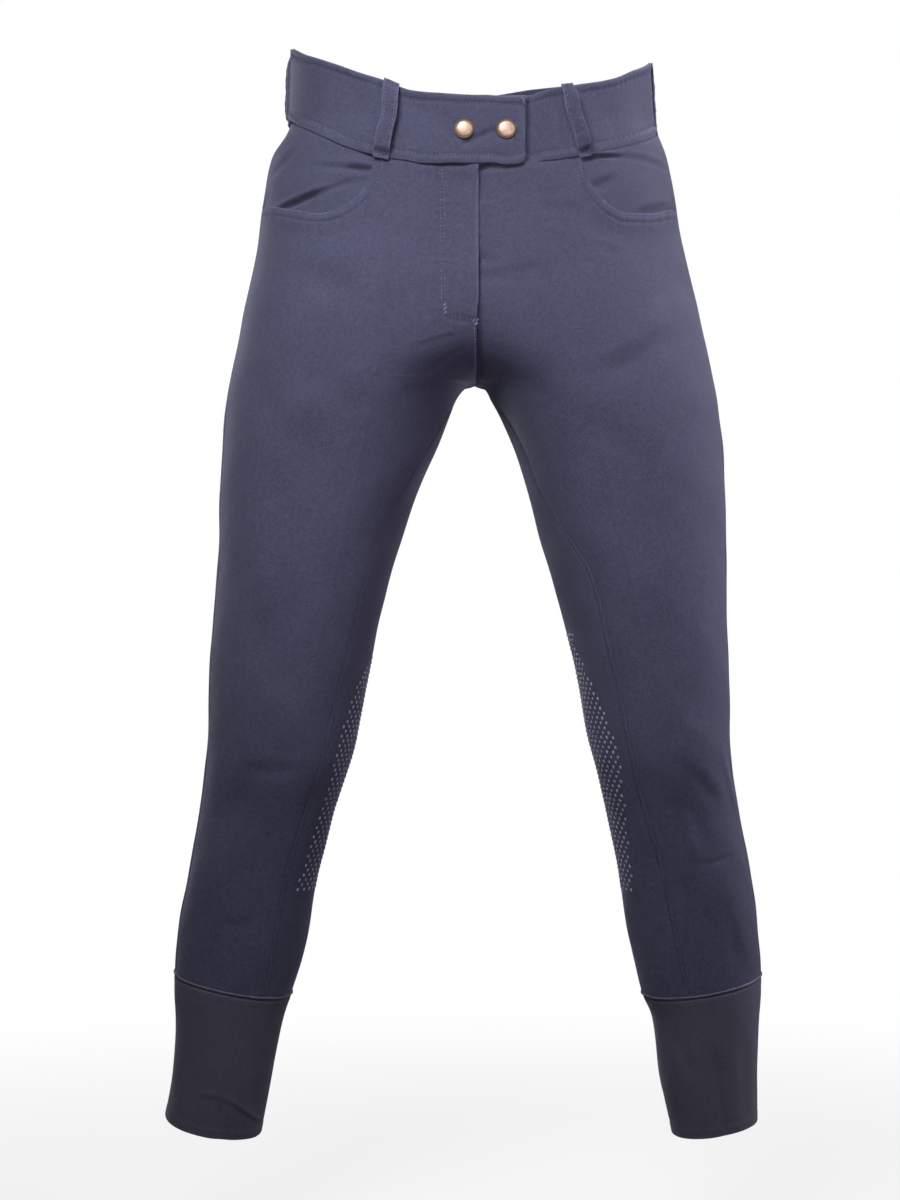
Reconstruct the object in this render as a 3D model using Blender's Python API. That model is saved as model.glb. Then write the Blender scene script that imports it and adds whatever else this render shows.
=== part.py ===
"""Riding breeches as they are worn, hollow and open at the waist and at both hems.

Every cloth piece is a wall of even thickness on one form. The form is a stack of level
sections, a closed curve for each leg, and the two curves run together above the crotch.
A place on the form is given by its side, by an angle that runs from the outer side (0) over
the front (90) and the inside of the leg (180) to the back (270), and by its level.

Lengths are in millimetres until a mesh is made, and every mesh is in metres.
+X points to the wearer's left, -Y to the front and +Z up. The origin is in the middle of
the waistband's ring.
"""

import math

import bmesh
import bpy
import numpy as np
from mathutils import Vector

MM = 0.001
RIGHT, LEFT = -1, 1
SIDE_NAMES = {RIGHT: "right", LEFT: "left"}

# Cloth and seams.
CLOTH = 1.5
BAND_CLOTH = 2.4
LOOP_CLOTH = 1.6
SEAM_GAP = 0.3
LEVEL_GAP = 0.4
LAP_CLEARANCE = 0.6

# The form. The legs part at the crotch, and from SPREAD_FROM down each leg's section moves
# out from the midline.
CROTCH = -242.0
SPREAD_FROM = -105.0
SPREAD_POWER = 2.6
LEAST_SPREAD = 0.01
FULLNESS = 0.035

# Distances from the midline to the outer side and to the inside of each leg, depths of the
# front and the back from the middle, and the fullest place as a share of the way outward.
FORM_COLUMNS = ("level", "right_out", "right_in", "left_in", "left_out", "front", "back", "middle",
                "fullest")
FORM_ROWS = (
    (60, 160, 0, 0, 153, 104, 106, 0, 0.01),
    (-15, 163, 0, 0, 157, 107, 112, 0, 0.01),
    (-45, 178, 0, 0, 168, 108, 118, 0, 0.02),
    (-85, 187, 0, 0, 177, 109, 127, 0, 0.12),
    (-125, 192, 0, 0, 183, 110, 132, 0, 0.235),
    (-185, 205, 0, 0, 197, 110, 133, 0, 0.39),
    (CROTCH, 216, 0, 0, 209, 106, 125, 0, 0.5),
    (-246, 217, 9, 7, 210, 105.5, 124, 0, 0.507),
    (-255, 218, 18, 14, 212, 105, 122, 0, 0.522),
    (-270, 220, 24, 22, 214, 103, 118, 0, 0.545),
    (-295, 222, 33, 32, 217, 99, 112, 0, 0.575),
    (-360, 225, 59, 52, 220, 92, 102, 0, 0.625),
    (-431, 229, 80, 73, 220, 84, 92, -2, 0.67),
    (-500, 233, 95, 89, 222, 74, 79, -4, 0.702),
    (-565, 237, 107, 102, 225, 66, 67, -3, 0.726),
    (-620, 243, 125, 116, 232, 58, 63, 4, 0.753),
    (-670, 253, 139, 127, 242, 55, 64, 9, 0.768),
    (-720, 262, 147, 134, 250, 52, 60, 12, 0.774),
    (-750, 265, 153, 140, 252, 50, 57, 12, 0.785),
    (-775, 266, 161, 146, 252, 49, 54, 12, 0.797),
    (-800, 265, 169, 156, 251, 47, 51, 12, 0.812),
    (-850, 268, 180, 163, 249, 45, 48, 12, 0.831),
    (-910, 278, 191, 176, 248, 43, 46, 12, 0.85),
)

# The waistband's edges by bearing: 0 at the right side, 90 at the middle of the front, 180 at
# the left side and 270 at the middle of the back.
RIM_COLUMNS = ("bearing", "top", "seam")
RIM_ROWS = (
    (0, 52.5, -11.5),
    (31, 36, -26),
    (44, 25.5, -37),
    (54, 15.5, -48),
    (62, 8, -55),
    (70, -1, -60),
    (79, -5, -63.5),
    (90, -7, -64.5),
    (104, -6, -62.5),
    (116, 2, -58),
    (125, 6, -52.5),
    (137, 13.5, -44.5),
    (150, 25, -35),
    (180, 40.5, -21.5),
    (225, 38, -25),
    (270, 29, -31),
    (315, 44, -19),
)

# The waistband's lap: its right end is lifted over its left end and hangs a little lower. The
# strip's bearings run on past 360, and those over LAP_BEARING are on the lap.
TAB_END = 42.0
TAB_DROP = 2.5
TAB_DROP_BEARING = 92.0
TAB_DROP_TURN = 7.0
TAB_RADIUS = 155.0
TAB_CORNER = 4.0
UNDERLAP_END = -24.0
LAP_RAMP = (-56.0, -30.0)
LAP_BEARING = 400.0
BAND_STAND = 0.6

# The fly: the right front laps over the left front, down to FLY_FOOT.
FLY_EDGE = 1.5
FLY_UNDERLAP = -3.0
FLY_LIFT = 2.6
FLY_RAMP = 12.0
FLY_FOOT = -190.0
FLY_FADE = 14.0

# The outseam between front and back lies a little in front of the form's widest place, and the
# inner seam runs down the inside of the front of each leg. Both are given by angle.
OUTSEAM = 8.0
INNER_SEAM_COLUMNS = ("level", "right", "left")
INNER_SEAM_ROWS = (
    (CROTCH, 180, 180),
    (-266, 170, 169),
    (-300, 158, 158),
    (-335, 148, 151),
    (-365, 141, 141),
    (-405, 137, 128),
    (-455, 136, 124),
    (-530, 131, 120),
    (-600, 125, 117),
    (-680, 122, 112),
    (-735, 121, 108),
    (-785, 125, 106),
)

# Angles that the panels' inner columns keep to near the crotch, where the midline turns under.
GUIDE_COLUMNS = ("level", "front", "back")
GUIDE_ROWS = (
    (-105, 90.5, 269.5),
    (-160, 103, 255),
    (-200, 120, 236),
    (CROTCH, 141, 210),
    (-270, 149, 186),
    (-300, 151, 167),
    (-335, 149, 150),
)
GUIDE_POWER = 6

# Cuff seam and hem of each leg: level at the outer side, at the inside and the front's dip.
RING_COLUMNS = ("outer", "inner", "dip")
CUFF_SEAMS = {RIGHT: (-757, -777, 4.5), LEFT: (-759, -777, 4.5)}
HEMS = {RIGHT: (-885, -901, 5.5), LEFT: (-889, -902, 2.5)}
CUFF_LEVEL = -768.0

# Pocket mouths, from the waistband seam to the outseam, by distance from the midline.
MOUTH_COLUMNS = ("across", "level")
MOUTHS = {
    RIGHT: ((85, -53), (88, -65), (92, -78), (97, -87), (105, -94), (116, -101), (131, -104),
            (155, -99), (176, -92), (188, -88)),
    LEFT: ((88, -53), (91, -66), (95, -78), (103, -90), (113, -99), (125, -104), (148, -102),
           (165, -96), (180, -90)),
}
MOUTH_STEPS = 120
POCKET_LEVEL = -80.0
POCKET_UNDERLAP = 10.0
POCKET_BLEND = 22.0
POCKET_GAPE = 1.2
POCKET_FADE = 20.0
FACING_CLEARANCE = 0.6

# The largest fold of each pocket facing: a trough between two places, which fades towards the
# mouth over FOLD_FADE.
FOLD_FADE = 6.0
FOLD_COLUMNS = ("from_across", "from_level", "to_across", "to_level", "depth", "reach")
FACING_FOLDS = {
    RIGHT: (160, -94, 96, -73, 3.0, 6.0),
    LEFT: (98, -80, 128, -62, 2.5, 6.0),
}

# Belt loops: bearing of the upper and the lower end, clear gap behind the strip and its width.
LOOP_COLUMNS = ("top_bearing", "foot_bearing", "gap", "width")
LOOPS = {
    "belt_loop_front_right": (63.5, 64.5, 7.0, 13.0),
    "belt_loop_front_left": (118.5, 120.5, 7.0, 11.5),
    "belt_loop_side_right": (354.0, 354.0, 5.8, 13.0),
    "belt_loop_side_left": (186.0, 186.0, 5.8, 13.0),
    "belt_loop_back": (270.0, 270.0, 6.2, 13.0),
}
LOOP_PATH_COLUMNS = ("share", "rise")
LOOP_PATH = ((0.0, -0.1), (0.045, 0.06), (0.14, 0.75), (0.26, 1.0), (0.5, 1.0), (0.74, 1.0),
             (0.86, 0.75), (0.95, 0.06), (1.0, 0.06))
LOOP_OVER_TOP = 1.9
LOOP_BELOW_SEAM = 2.0

# Snap caps on the tab: a turned profile and two places.
SNAP_LEVEL = -36.0
SNAP_ACROSS = {"snap_cap_right": -10.5, "snap_cap_left": 24.5}
SNAP_SEAT = BAND_STAND + BAND_CLOTH + LAP_CLEARANCE + 0.6
SNAP_PROFILE_COLUMNS = ("radius", "height")
SNAP_PROFILE = ((7.6, 0.0), (8.2, 0.5), (7.9, 1.2), (7.0, 1.35), (5.2, 2.2), (2.7, 2.75))
SNAP_CROWN = 2.95
SNAP_SIDES = 20

# Grids: shares of the way across a panel, and levels shared by all panels below the pockets.
FRONT_SHARES = (0, 0.1, 0.21, 0.3, 0.38, 0.45, 0.52, 0.58, 0.625, 0.66, 0.7, 0.76, 0.84, 0.91,
                0.96, 1)
BACK_SHARES = (0, 0.08, 0.16, 0.25, 0.34, 0.43, 0.52, 0.61, 0.7, 0.79, 0.87, 0.94, 1)
FACING_COLUMNS = 12
FACING_ROWS = 6
BAND_ROWS = 3
CUFF_ROWS = 4
TOP_ROWS = 5
TOP_LEVEL = -135.0
LEVELS = (-157, FLY_FOOT + FLY_FADE, FLY_FOOT, FLY_FOOT - FLY_FADE, -218, -229, -236, -240, CROTCH,
          -245, -251, -261, -278, -305, -340, -380, -425, -475, -525, -575, -625, -680, -735)

COLOURS = {
    "stretch_cloth": (0.075, 0.078, 0.13),
    "pocket_cloth": (0.07, 0.073, 0.122),
    "cuff_cloth": (0.05, 0.047, 0.07),
    "antique_brass": (0.52, 0.36, 0.2),
}


def table(columns, rows):
    """The rows as one array for each named column, ordered by the first one."""
    ordered = sorted(rows, key=lambda row: row[0])
    return dict(zip(columns, np.array(ordered, dtype=float).T))


def named(columns, row):
    """One row of a table by its columns' names."""
    return dict(zip(columns, row))


FORM = table(FORM_COLUMNS, FORM_ROWS)
RIM = table(RIM_COLUMNS, RIM_ROWS)
INNER_SEAM = table(INNER_SEAM_COLUMNS, INNER_SEAM_ROWS)
GUIDE = table(GUIDE_COLUMNS, GUIDE_ROWS)
MOUTH = {side: table(MOUTH_COLUMNS, rows) for side, rows in MOUTHS.items()}


def smooth(at, knots, values):
    """A cubic through the values that never swings past them between two knots."""
    step = np.diff(knots)
    slope = np.diff(values) / step
    tangent = np.concatenate(([slope[0]], np.zeros(len(step) - 1), [slope[-1]]))
    for i in np.flatnonzero(slope[1:] * slope[:-1] > 0):
        near, far = step[i] + 2 * step[i + 1], 2 * step[i] + step[i + 1]
        tangent[i + 1] = (near + far) / (near / slope[i] + far / slope[i + 1])
    at = np.clip(at, knots[0], knots[-1])
    i = np.clip(np.searchsorted(knots, at, side="right") - 1, 0, len(step) - 1)
    t = (at - knots[i]) / step[i]
    return (
        (1 + 2 * t) * (1 - t) ** 2 * values[i]
        + t * (1 - t) ** 2 * step[i] * tangent[i]
        + t**2 * (3 - 2 * t) * values[i + 1]
        + t**2 * (t - 1) * step[i] * tangent[i + 1]
    )


def ease(share):
    """From 0 to 1 with level ends."""
    share = np.clip(share, 0, 1)
    return share**2 * (3 - 2 * share)


def spread_at(level):
    """How far the legs have parted: next to 0 at the waist and 1 at the crotch and below."""
    fall = np.clip((SPREAD_FROM - np.asarray(level, float)) / (SPREAD_FROM - CROTCH), 0, 1)
    return np.maximum(fall**SPREAD_POWER, LEAST_SPREAD)


def section(side, level):
    """One leg's level section: its fullest place, its reach out and in from there, and depths."""
    name = SIDE_NAMES[side]
    out = smooth(level, FORM["level"], FORM[f"{name}_out"])
    inside = smooth(level, FORM["level"], FORM[f"{name}_in"])
    fullest = out * smooth(level, FORM["level"], FORM["fullest"])
    inward = np.where(level >= CROTCH, fullest / spread_at(level), fullest - inside)
    front, back, middle = (smooth(level, FORM["level"], FORM[c]) for c in ("front", "back", "middle"))
    return fullest, out - fullest, inward, front, back, middle


def on_form(side, angle, level):
    """Points of the form's outer face."""
    angle, level = np.broadcast_arrays(np.asarray(angle, float), np.asarray(level, float))
    fullest, outward_reach, inward_reach, front, back, middle = section(side, level)
    turn = np.radians(angle)
    outer_half = np.cos(turn) > 0
    full = 1 + np.where(outer_half, FULLNESS * np.sin(2 * turn) ** 2, 0)
    reach = np.where(outer_half, outward_reach, inward_reach)
    depth = np.where(np.sin(turn) > 0, front, back)
    x = side * (fullest + reach * np.cos(turn) * full)
    y = middle - depth * np.sin(turn) * full
    return np.stack((x, y, level), axis=-1)


def stretch(side, angle, level):
    """How the form's points move for a degree of angle and for a millimetre of level."""
    per_degree = on_form(side, angle + 0.5, level) - on_form(side, angle - 0.5, level)
    per_level = on_form(side, angle, level + 0.5) - on_form(side, angle, level - 0.5)
    return per_degree, per_level


def outward(side, angle, level):
    """Unit normals of the form, pointing out."""
    per_degree, per_level = stretch(side, angle, level)
    normal = -side * np.cross(per_degree, per_level)
    return normal / np.linalg.norm(normal, axis=-1, keepdims=True)


def bearing_of(side, angle):
    return angle % 360 if side == RIGHT else (180 - angle) % 360


def rim_level(bearing, edge):
    """Level of the waistband's top edge or seam at a bearing."""
    knots = np.concatenate([RIM["bearing"] + turn for turn in (-360, 0, 360)])
    return smooth(np.asarray(bearing) % 360, knots, np.tile(RIM[edge], 3))


def ring_level(ring, angle):
    """Level of a cuff seam or hem at an angle."""
    ring, turn = named(RING_COLUMNS, ring), np.radians(angle)
    middle, slope = (ring["outer"] + ring["inner"]) / 2, (ring["outer"] - ring["inner"]) / 2
    return middle + slope * np.cos(turn) - ring["dip"] * np.sin(turn)


def angle_at(side, across, level):
    """Angle of the front face's point at a signed distance from the midline, at one level."""
    angles = np.linspace(0, 180, 721)
    reach = on_form(side, angles, np.full(angles.shape, float(level)))[:, 0]
    order = np.argsort(reach)
    return float(np.interp(across, reach[order], angles[order]))


def midline_angle(level):
    """Angle at which the front face meets the midline: 90 at the waist, 180 at the crotch."""
    return np.degrees(np.arccos(-spread_at(level)))


def front_end_angle(side, level):
    """Angle of the front panel's inner edge: the midline, then the inner-front seam."""
    level = np.asarray(level, float)
    seam = smooth(level, INNER_SEAM["level"], INNER_SEAM[SIDE_NAMES[side]])
    return np.where(level > CROTCH, midline_angle(level), seam)


def back_end_angle(side, level):
    """Angle of the back panel's inner edge: the back midline, then the inner-front seam."""
    end = front_end_angle(side, level)
    return np.where(level > CROTCH, 360 - end, end)


def front_angles(shares, end=90):
    """Angles of the front's columns on a level where they are spread evenly to the end."""
    return OUTSEAM + shares * (end - OUTSEAM)


def back_angles(shares, end=270):
    """Angles of the back's columns, which run the other way round from the same outseam."""
    return 360 + OUTSEAM - shares * (360 + OUTSEAM - end)


def panel_angles(shares, level, start, end, face):
    """Angles of a panel's grid. Only its last columns follow the midline under the crotch."""
    above = level > GUIDE["level"][0]
    guide = np.where(above, smooth(level, GUIDE["level"], GUIDE[face]), end)
    return start + shares * (guide - start) + shares**GUIDE_POWER * (end - guide)


def mouth_curve(side):
    """The pocket mouth, finely sampled: distance from the midline, and level."""
    across, level = MOUTH[side]["across"], MOUTH[side]["level"]
    along = np.concatenate(([0], np.cumsum(np.hypot(np.diff(across), np.diff(level)))))
    at = np.linspace(0, along[-1], MOUTH_STEPS)
    return smooth(at, along, across), smooth(at, along, level)


def mouth_level(side, across):
    return np.interp(across, *mouth_curve(side))


def above_mouth(side, points):
    """Distance of each point from the pocket mouth, seen from the front, positive inside it."""
    across, level = mouth_curve(side)
    x, z = np.abs(points[..., 0]), points[..., 2]
    away = np.hypot(x[..., None] - across, z[..., None] - level).min(axis=-1)
    return np.where((z > np.interp(x, across, level)) & (x > across[0]), away, -away)


def panel_levels(top, bottom):
    """Levels of a panel's grid: slanted rows under its top edge, then the shared levels."""
    head = [top + (TOP_LEVEL - top) * i / TOP_ROWS for i in range(TOP_ROWS + 1)]
    body = [np.full(top.shape, float(level)) for level in LEVELS]
    return np.stack([*head, *body, bottom])


def spaced(side, angle, level):
    """Pulls a grid's border in by half a seam gap."""
    per_degree, _ = stretch(side, angle, level)
    margin = SEAM_GAP / 2 / np.linalg.norm(per_degree, axis=-1)
    way = np.sign(angle[:, -1] - angle[:, 0])
    angle, level = angle.copy(), level.copy()
    angle[:, 0] += way * margin[:, 0]
    angle[:, -1] -= way * margin[:, -1]
    level[0] -= LEVEL_GAP / 2
    level[-1] += LEVEL_GAP / 2
    return angle, level


def add_object(name, material_name, mesh):
    """A named object of this mesh, with a material of its own."""
    material = bpy.data.materials.new(f"{name}_{material_name}")
    material.use_nodes = True
    shader = material.node_tree.nodes["Principled BSDF"]
    shader.inputs["Base Color"].default_value = (*COLOURS[material_name], 1)
    metal = material_name == "antique_brass"
    shader.inputs["Metallic"].default_value = 1.0 if metal else 0.0
    shader.inputs["Roughness"].default_value = 0.35 if metal else 0.85
    mesh.materials.append(material)
    mesh.shade_smooth()
    mesh.set_sharp_from_angle(angle=math.radians(50))
    piece = bpy.data.objects.new(name, mesh)
    bpy.context.scene.collection.objects.link(piece)
    return piece


def quads(rows):
    """Quads between the neighbouring rows of an index grid."""
    return [
        (int(rows[i, j]), int(rows[i, j + 1]), int(rows[i + 1, j + 1]), int(rows[i + 1, j]))
        for i in range(rows.shape[0] - 1)
        for j in range(rows.shape[1] - 1)
    ]


def add_wall(name, material_name, points, normals, lift, thickness, ring=False):
    """A wall with its outer face on the points moved out by lift. A ring closes on itself."""
    outer = points + normals * np.broadcast_to(lift, points.shape[:2])[..., None]
    corners = np.concatenate((outer, outer - normals * thickness)).reshape(-1, 3)
    front = np.arange(points.shape[0] * points.shape[1]).reshape(points.shape[:2])
    if ring:
        front = np.hstack((front, front[:, :1]))
    back = front + points.shape[0] * points.shape[1]
    faces = quads(front) + quads(back)
    for edge in (0, -1):
        faces += quads(np.stack((front[edge], back[edge])))
        if not ring:
            faces += quads(np.stack((front[:, edge], back[:, edge])))
    mesh = bpy.data.meshes.new(name)
    mesh.from_pydata((corners * MM).tolist(), [], faces)
    shape = bmesh.new()
    shape.from_mesh(mesh)
    bmesh.ops.recalc_face_normals(shape, faces=shape.faces)
    shape.to_mesh(mesh)
    shape.free()
    return add_object(name, material_name, mesh)


def fly_lift(points):
    """How far the right front is lifted over the left front along the fly."""
    across = ease((points[..., 0] + FLY_RAMP) / (FLY_RAMP - 2))
    return FLY_LIFT * across * ease((points[..., 2] - FLY_FOOT) / FLY_FADE + 1)


def fly_angles(side, level, end_angle):
    """The front edge's angles with the fly's overlap or underlap worked in."""
    edge = FLY_EDGE if side == RIGHT else FLY_UNDERLAP
    reach = edge * ease((level - FLY_FOOT) / FLY_FADE)
    return np.array([
        angle_at(side, x, z) if z > FLY_FOOT else angle
        for x, z, angle in zip(reach, level, end_angle)
    ])


def pocket_columns(side, shares):
    """Level of the waistband's seam and distance from the midline, for the front's columns."""
    angles = front_angles(shares)
    across = np.abs(on_form(side, angles, POCKET_LEVEL)[:, 0])
    return rim_level(bearing_of(side, angles), "seam"), across


def gape(side, points):
    """How far the front stands out along the pocket mouth, nothing at the mouth's two ends."""
    across, ends = np.abs(points[..., 0]), MOUTH[side]["across"]
    near_mouth = 1 - ease(-above_mouth(side, points) / POCKET_BLEND)
    inner_end = ease((across - ends[0]) / POCKET_FADE)
    outer_end = ease((ends[-1] - across) / POCKET_FADE)
    return POCKET_GAPE * near_mouth * inner_end * outer_end


def front_panel(side):
    shares = np.array(FRONT_SHARES)
    top, across = pocket_columns(side, shares)
    in_pocket = across > MOUTH[side]["across"][0]
    top = np.where(in_pocket, np.minimum(top, mouth_level(side, across)), top)
    foot_angle = front_angles(shares, float(front_end_angle(side, CUFF_LEVEL)))
    level = panel_levels(top, ring_level(CUFF_SEAMS[side], foot_angle))
    angle = panel_angles(shares, level, OUTSEAM, front_end_angle(side, level), "front")
    angle[-1] = foot_angle
    angle[:, -1] = fly_angles(side, level[:, -1], angle[:, -1])
    angle, level = spaced(side, angle, level)
    points = on_form(side, angle, level)
    lift = gape(side, points)
    if side == RIGHT:
        lift = lift + fly_lift(points)
    name = f"front_{SIDE_NAMES[side]}"
    add_wall(name, "stretch_cloth", points, outward(side, angle, level), lift, CLOTH)


def back_panel(side):
    shares = np.array(BACK_SHARES)
    top = rim_level(bearing_of(side, back_angles(shares)), "seam")
    foot_angle = back_angles(shares, float(front_end_angle(side, CUFF_LEVEL)))
    level = panel_levels(top, ring_level(CUFF_SEAMS[side], foot_angle))
    angle = panel_angles(shares, level, 360 + OUTSEAM, back_end_angle(side, level), "back")
    angle[-1] = foot_angle
    angle, level = spaced(side, angle, level)
    name = f"back_{SIDE_NAMES[side]}"
    normals = outward(side, angle, level)
    add_wall(name, "stretch_cloth", on_form(side, angle, level), normals, 0.0, CLOTH)


def fold_depth(side, points):
    """Depth of the facing's fold at each point, a trough round a straight line."""
    fold = named(FOLD_COLUMNS, FACING_FOLDS[side])
    start = np.array((fold["from_across"], fold["from_level"]))
    way = np.array((fold["to_across"], fold["to_level"])) - start
    place = np.stack((np.abs(points[..., 0]), points[..., 2]), axis=-1) - start
    share = np.clip(place @ way / (way @ way), 0, 1)
    away = np.linalg.norm(place - share[..., None] * way, axis=-1)
    return fold["depth"] * np.exp(-((away / fold["reach"]) ** 2))


def pocket_facing(side):
    shares = np.array(FRONT_SHARES[:FACING_COLUMNS])
    top, across = pocket_columns(side, shares)
    bottom = np.minimum(top, mouth_level(side, across + POCKET_UNDERLAP)) - POCKET_UNDERLAP
    rows = np.linspace(0, 1, FACING_ROWS)[:, None]
    level = top + (bottom - top) * rows
    angle = np.broadcast_to(front_angles(shares), level.shape)
    angle, level = spaced(side, angle, level)
    points = on_form(side, angle, level)
    away = above_mouth(side, points)
    under = CLOTH + FACING_CLEARANCE
    lift = -under * (1 - ease(away / POCKET_BLEND))
    inside = ease((away / FOLD_FADE + 1) / 2)
    lift -= fold_depth(side, points) * inside * ease(shares / FRONT_SHARES[2])
    name = f"pocket_facing_{SIDE_NAMES[side]}"
    add_wall(name, "pocket_cloth", points, outward(side, angle, level), lift, CLOTH)


def around(bearing, level):
    """Points and outward normals of the form above the legs, for grids of bearing and level."""
    bearing, level = np.broadcast_arrays(np.asarray(bearing, float) % 360, np.asarray(level, float))
    points = np.empty((*level.shape, 3))
    normals = np.empty_like(points)
    on_left = (bearing > 90) & (bearing < 270)
    for side, mine in ((LEFT, on_left), (RIGHT, ~on_left)):
        angle = bearing[mine] if side == RIGHT else (180 - bearing[mine]) % 360
        half_turn = midline_angle(level[mine]) / 90
        angle = np.where(angle <= 90, angle * half_turn, 360 - (360 - angle) * half_turn)
        points[mine] = on_form(side, angle, level[mine])
        normals[mine] = outward(side, angle, level[mine])
    return points, normals


def band_bearings():
    """Bearings of the waistband's columns, from the tab's end round the back to the underlap.

    They pass through every column of the panels that the band is sewn to."""
    front, back = front_angles(np.array(FRONT_SHARES)), back_angles(np.array(BACK_SHARES))
    columns = [bearing_of(side, angles) for side in (RIGHT, LEFT) for angles in (front, back)]
    columns = np.unique(np.round(np.concatenate(columns) % 360, 3))
    tab_end = bearing_of(LEFT, angle_at(LEFT, TAB_END, SNAP_LEVEL))
    underlap = angle_at(RIGHT, UNDERLAP_END, SNAP_LEVEL)
    corner = math.degrees(TAB_CORNER / TAB_RADIUS)
    lap = [b for b in columns if underlap + 1 < b < tab_end - 2 * corner]
    tab = [*lap, tab_end - corner, tab_end - corner / 3, tab_end]
    ring = [b for b in columns if b > tab_end] + [b + 360 for b in columns if b < underlap - 1]
    end = [b + 360 for b in [underlap, *tab]]
    start = [underlap, *lap, *[b for b in columns if tab_end - 2 * corner <= b <= tab_end]]
    return np.array(sorted(set(np.round(start + ring + end, 3))))


def waistband():
    """One strip from under the tab round the back to the tab's rounded end."""
    bearings = band_bearings()
    shares = np.linspace(0, 1, BAND_ROWS)[:, None]
    end = bearings[-1]
    lap = ease((bearings - 360 - TAB_DROP_BEARING) / TAB_DROP_TURN)
    nearness = np.clip(1 - np.radians(end - bearings) * TAB_RADIUS / TAB_CORNER, 0, 1)
    corner = TAB_CORNER * (1 - np.sqrt(1 - nearness**2))
    top = rim_level(bearings, "top") - lap * TAB_DROP / 2 - corner
    foot = rim_level(bearings, "seam") - lap * TAB_DROP + corner
    level = top + (foot - top) * shares
    level[-1] += LEVEL_GAP / 2 * (1 - lap)
    grid = np.broadcast_to(bearings, level.shape)
    points, normals = around(grid, level)
    ramp = (points[..., 0] - LAP_RAMP[0]) / (LAP_RAMP[1] - LAP_RAMP[0])
    over = np.where(grid > LAP_BEARING, ease(ramp), 0)
    lift = BAND_STAND + (BAND_CLOTH + LAP_CLEARANCE) * over
    add_wall("waistband", "stretch_cloth", points, normals, lift, BAND_CLOTH)


def cuff(side):
    seam = float(front_end_angle(side, CUFF_LEVEL))
    front, back = front_angles(np.array(FRONT_SHARES), seam), back_angles(np.array(BACK_SHARES), seam)
    angles = np.unique(np.round(np.concatenate((front, back[1:])), 3))
    shares = np.linspace(0, 1, CUFF_ROWS)[:, None]
    top = ring_level(CUFF_SEAMS[side], angles) - LEVEL_GAP / 2
    level = top + (ring_level(HEMS[side], angles) - top) * shares
    angle = np.broadcast_to(angles, level.shape)
    points, normals = on_form(side, angle, level), outward(side, angle, level)
    add_wall(f"cuff_{SIDE_NAMES[side]}", "cuff_cloth", points, normals, 0.0, CLOTH, ring=True)


def belt_loop(name, top_bearing, foot_bearing, gap, width):
    """A strip over the waistband's top edge, bowed out from it and tacked under its seam."""
    path = table(LOOP_PATH_COLUMNS, LOOP_PATH)
    share, rise = path["share"], path["rise"]
    bearing = top_bearing + (foot_bearing - top_bearing) * share
    ends, _ = around(top_bearing + np.array((-0.5, 0.5)), rim_level(top_bearing, "top"))
    reach = width / 2 / float(np.linalg.norm(ends[1] - ends[0]))
    grid = np.stack((bearing - reach, bearing + reach), axis=1)
    top = rim_level(grid, "top") + LOOP_OVER_TOP
    foot = rim_level(grid, "seam") - LOOP_BELOW_SEAM
    level = top + (foot - top) * share[:, None]
    points, normals = around(grid, level)
    rest = BAND_STAND + SEAM_GAP + LOOP_CLOTH
    lift = (rest + (gap - SEAM_GAP) * rise)[:, None]
    add_wall(name, "stretch_cloth", points, normals, lift, LOOP_CLOTH)


def snap_mesh():
    """A turned cap: a flat underside, a rolled rim and a low crown."""
    turns = np.radians(np.arange(SNAP_SIDES) * 360 / SNAP_SIDES)
    shape = bmesh.new()
    rings = []
    for row in SNAP_PROFILE:
        turned = named(SNAP_PROFILE_COLUMNS, row)
        across, height = turned["radius"] * MM, turned["height"] * MM
        places = [(across * math.cos(t), across * math.sin(t), height) for t in turns]
        rings.append([shape.verts.new(place) for place in places])
    crown = shape.verts.new((0, 0, SNAP_CROWN * MM))
    shape.faces.new(rings[0][::-1])
    for i in range(SNAP_SIDES):
        j = (i + 1) % SNAP_SIDES
        for lower, upper in zip(rings, rings[1:]):
            shape.faces.new((lower[i], lower[j], upper[j], upper[i]))
        shape.faces.new((rings[-1][i], rings[-1][j], crown))
    mesh = bpy.data.meshes.new("snap_cap")
    shape.to_mesh(mesh)
    shape.free()
    return mesh


def snap_cap(name, across):
    """A cap seated on the tab's outer face, square to it."""
    side = RIGHT if across < 0 else LEFT
    angle, level = np.array(angle_at(side, across, SNAP_LEVEL)), np.array(SNAP_LEVEL)
    normal = outward(side, angle, level)
    cap = add_object(name, "antique_brass", snap_mesh())
    cap.location = (on_form(side, angle, level) + normal * SNAP_SEAT) * MM
    cap.rotation_mode = "QUATERNION"
    cap.rotation_quaternion = Vector(normal).to_track_quat("Z", "Y")


def main():
    for old in list(bpy.data.objects):
        bpy.data.objects.remove(old, do_unlink=True)
    for side in (RIGHT, LEFT):
        front_panel(side)
        back_panel(side)
        pocket_facing(side)
        cuff(side)
    waistband()
    for name, row in LOOPS.items():
        belt_loop(name, **named(LOOP_COLUMNS, row))
    for name, across in SNAP_ACROSS.items():
        snap_cap(name, across)


main()
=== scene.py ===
"""Riding breeches: cloth, seams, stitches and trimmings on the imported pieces.

Every cloth piece is a thin shell on one form, the same as in the solids. A place on the form
is given by its side, by an angle that runs from the outer side (0) over the front (90) and the
inside of the leg (180) to the back (270), and by its level. Lengths are in millimetres until a
mesh is made. +X points to the wearer's left, -Y to the front and +Z up.
"""

import math

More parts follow.
